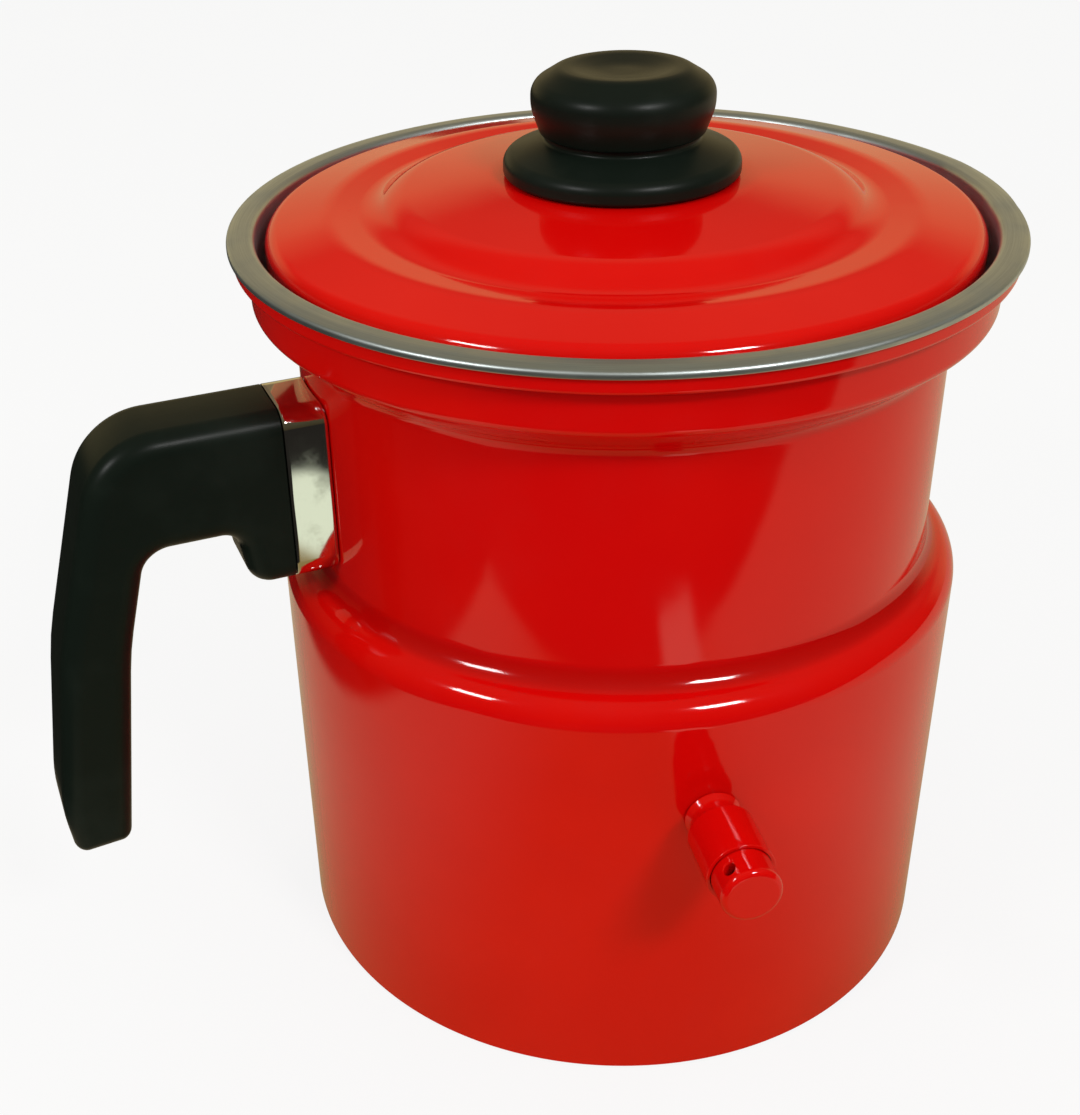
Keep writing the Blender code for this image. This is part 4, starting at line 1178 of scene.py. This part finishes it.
rim_end = front - SEAM
back = rim_end - REED_GAP
cup_corners = [
    (REED_HOLE_RADIUS, back - REED_THICKNESS, 0),
    (REED_RADIUS, back - REED_THICKNESS, REED_THICKNESS / 2),
    (REED_RADIUS, rim_end, 0),
    (REED_RADIUS - REED_THICKNESS, rim_end, 0),
    (REED_RADIUS - REED_THICKNESS, back, 0),
    (REED_HOLE_RADIUS, back, 0),
    (REED_HOLE_RADIUS, back - REED_THICKNESS, 0),
]
back_plate = turned("back_reed", outline(cup_corners), fixing_steel, SMALL_TURN, place=WHISTLE_PLACE)
hand_over(back_plate, "whistle_body", "satin_steel", "whistle_back_plate")


# Camera
# It stands a third of a metre from the pot and looks down at it, as the photograph does, with the handle to
# the left. Its lens and shift are worked out for a frame 1080 by 1115.

IMAGE_HEIGHT = 1115
FOCAL_PIXELS = 1603
SENSOR = 36.0
CAMERA_AWAY = 0.3417
CAMERA_HEIGHT = 0.2928
VIEW_TURN = math.radians(-25.6)
CAMERA_YAW = 0.094
CAMERA_PITCH = 0.568
CAMERA_ROLL = -0.0318
CAMERA_NEAR = 0.01
SIDE_SHIFT_PIXELS = 54
UP_SHIFT_PIXELS = 60

camera_data = bpy.data.cameras.new("camera")
camera_data.sensor_width = SENSOR
camera_data.lens = FOCAL_PIXELS * SENSOR / IMAGE_HEIGHT
camera_data.shift_x = SIDE_SHIFT_PIXELS / IMAGE_HEIGHT
camera_data.shift_y = UP_SHIFT_PIXELS / IMAGE_HEIGHT
camera_data.clip_start = CAMERA_NEAR
camera = bpy.data.objects.new("camera", camera_data)
bpy.context.scene.collection.objects.link(camera)
aim = (
    Matrix.Rotation(VIEW_TURN + CAMERA_YAW, 4, "Z")
    @ Matrix.Rotation(math.pi / 2 - CAMERA_PITCH, 4, "X")
    @ Matrix.Rotation(CAMERA_ROLL, 4, "Z")
)
stand = Matrix.Rotation(VIEW_TURN, 4, "Z") @ Vector((0, -CAMERA_AWAY, CAMERA_HEIGHT))
camera.matrix_world = Matrix.Translation(stand) @ aim
bpy.context.scene.camera = camera


# Studio
# A wide pale floor under a plain pale room. Two long soft lamps above and in front of the pot leave the
# paired streaks on its rounded edges. For glossy rays only, the floor glows with a painted reflection of
# a brown table with a white card on it, and the gloss mirrors a room that is darker in front than behind.

FLOOR_HALF = 6.0
FLOOR_PALE = (0.64, 0.63, 0.61, 1)
FLOOR_WORN = (0.62, 0.61, 0.59, 1)
WHITE = (1.0, 1.0, 1.0, 1)
FLOOR_WHITENESS = 0.86
FLOOR_TONE_SIZE = 0.25
# Painted reflection: the floor glows in these table and card colours only for glossy rays, so they show in
# the gloss though no table or card is in the scene.
REFLECTED_TABLE_NEAR = (0.30, 0.22, 0.08, 1)
REFLECTED_TABLE_FAR = (0.56, 0.47, 0.31, 1)
REFLECTED_TABLE_BEYOND = (0.020, 0.018, 0.015, 1)
TABLE_LEFT = -0.175
TABLE_FRONT = -0.215
TABLE_EDGE = 0.012
TABLE_NEAR_HALF = 0.03
TABLE_FAR_HALF = 0.15
REFLECTED_CARD_WHITE = (0.88, 0.94, 0.72, 1)
CARD_LEFT = 0.056
CARD_RIGHT = 0.100
CARD_FRONT = -0.250
CARD_BACK = -0.192
WALL_LIGHT = (0.20, 0.20, 0.20, 1)
CEILING_LIGHT = (1.05, 1.05, 1.02, 1)
LAMP_DISTANCE = 1.6
LAMP_LENGTH = 0.34
LAMP_WIDTH = 0.22
LAMPS = ((-48, 36, 6.6), (38, 42, 9.6))

bm = bmesh.new()
bmesh.ops.create_grid(bm, x_segments=8, y_segments=8, size=FLOOR_HALF)
floor_mesh = bpy.data.meshes.new("floor")
bm.to_mesh(floor_mesh)
bm.free()
floor = new_piece("floor", floor_mesh)
floor_finish, floor_shader, floor_place = new_finish("pale_floor", Roughness=0.8)
tone = floor_place.noise(FLOOR_TONE_SIZE, 3.0).fade(0.3, 0.7)
feed(floor_shader, Base_Color=tone.blend(FLOOR_PALE, FLOOR_WORN))
view_place = floor_place.node(
    "ShaderNodeVectorRotate", {"rotation_type": "Z_AXIS"}, {"Vector": floor_place, "Angle": -VIEW_TURN}
)
across = floor_place.node("ShaderNodeSeparateXYZ", None, {"Vector": view_place})
deep = across.other("Y")
reflected_table = abs(across).fade(TABLE_NEAR_HALF, TABLE_FAR_HALF).blend(REFLECTED_TABLE_NEAR, REFLECTED_TABLE_FAR)
table_side = across.fade(TABLE_LEFT - TABLE_EDGE, TABLE_LEFT)
table_end = deep.fade(TABLE_FRONT - TABLE_EDGE, TABLE_FRONT)
reflected_table = (table_side * table_end).blend(REFLECTED_TABLE_BEYOND, reflected_table)
card_side = across.fade(CARD_LEFT, CARD_LEFT + TABLE_EDGE)
card_side = card_side * (1 - across.fade(CARD_RIGHT, CARD_RIGHT + TABLE_EDGE))
card_end = deep.fade(CARD_FRONT - TABLE_EDGE, CARD_FRONT)
card_end = card_end * (1 - deep.fade(CARD_BACK - TABLE_EDGE, CARD_BACK))
reflected_table = (card_side * card_end).blend(reflected_table, REFLECTED_CARD_WHITE)
rays = floor_place.node("ShaderNodeLightPath", out="Is Camera Ray")
white = floor_place.node("ShaderNodeEmission", None, {"Color": WHITE, "Strength": 1.0})
# Painted reflection: glossy rays see the floor glow with the table and the card.
pale = floor_place.node("ShaderNodeEmission", None, {"Color": reflected_table, "Strength": 1.0})
lit = Wire(floor_place.tree, floor_shader.outputs["BSDF"])
seen = lit.node("ShaderNodeMixShader", None, {0: rays * FLOOR_WHITENESS, 1: lit, 2: white})
seen = lit.node("ShaderNodeMixShader", None, {0: rays.other("Is Glossy Ray"), 1: seen, 2: pale})
output = floor_finish.node_tree.nodes["Material Output"]
floor_finish.node_tree.links.new(seen.socket, output.inputs["Surface"])
floor_mesh.materials.append(floor_finish)

world = bpy.data.worlds.new("room")
bpy.context.scene.world = world
world.use_nodes = True
sky = Wire(world.node_tree)
direction = sky.node("ShaderNodeTexCoord", out="Generated")
height = sky.node("ShaderNodeSeparateXYZ", None, {"Vector": direction}, "Z")
front_stops = [
    (0.00, (0.05, 0.04, 0.02, 1)),
    (0.50, (0.08, 0.07, 0.04, 1)),
    (1.00, (0.17, 0.14, 0.08, 1)),
]
back_stops = [
    (0.00, (0.62, 0.50, 0.25, 1)),
    (0.30, (0.56, 0.42, 0.19, 1)),
    (0.42, (0.17, 0.12, 0.07, 1)),
    (0.58, (0.27, 0.20, 0.12, 1)),
    (0.80, (0.28, 0.23, 0.13, 1)),
    (1.00, (0.17, 0.14, 0.08, 1)),
]
front_room = height.node("ShaderNodeValToRGB", {"stops": front_stops}, {"Fac": height})
back_room = height.node("ShaderNodeValToRGB", {"stops": back_stops}, {"Fac": height})
from_view = direction.node(
    "ShaderNodeVectorRotate", {"rotation_type": "Z_AXIS"}, {"Vector": direction, "Angle": -VIEW_TURN}
)
behind = from_view.node("ShaderNodeSeparateXYZ", None, {"Vector": from_view}, "Y").fade(0.45, 0.75)
mirrored = behind.blend(front_room, back_room)
path = sky.node("ShaderNodeLightPath", out="Is Camera Ray")
room = height.blend(WALL_LIGHT, CEILING_LIGHT)
gloss_or_room = path.other("Is Glossy Ray").blend(room, mirrored)
background = world.node_tree.nodes["Background"]
world.node_tree.links.new(path.blend(gloss_or_room, WHITE).socket, background.inputs["Color"])

for number, (turn, rise, power) in enumerate(LAMPS):
    lamp_data = bpy.data.lights.new(f"lamp_{number}", "AREA")
    lamp_data.shape = "RECTANGLE"
    lamp_data.size = LAMP_LENGTH
    lamp_data.size_y = LAMP_WIDTH
    lamp_data.energy = power
    lamp = bpy.data.objects.new(f"lamp_{number}", lamp_data)
    bpy.context.scene.collection.objects.link(lamp)
    bearing = Matrix.Rotation(VIEW_TURN + math.radians(turn), 4, "Z")
    bearing = bearing @ Matrix.Rotation(-math.radians(rise), 4, "X")
    hung = Matrix.Translation((0, -LAMP_DISTANCE, 0)) @ Matrix.Rotation(math.pi / 2, 4, "X")
    lamp.matrix_world = Matrix.Translation((0, 0, SHOULDER)) @ bearing @ hung

bpy.context.scene.view_settings.view_transform = "Standard"
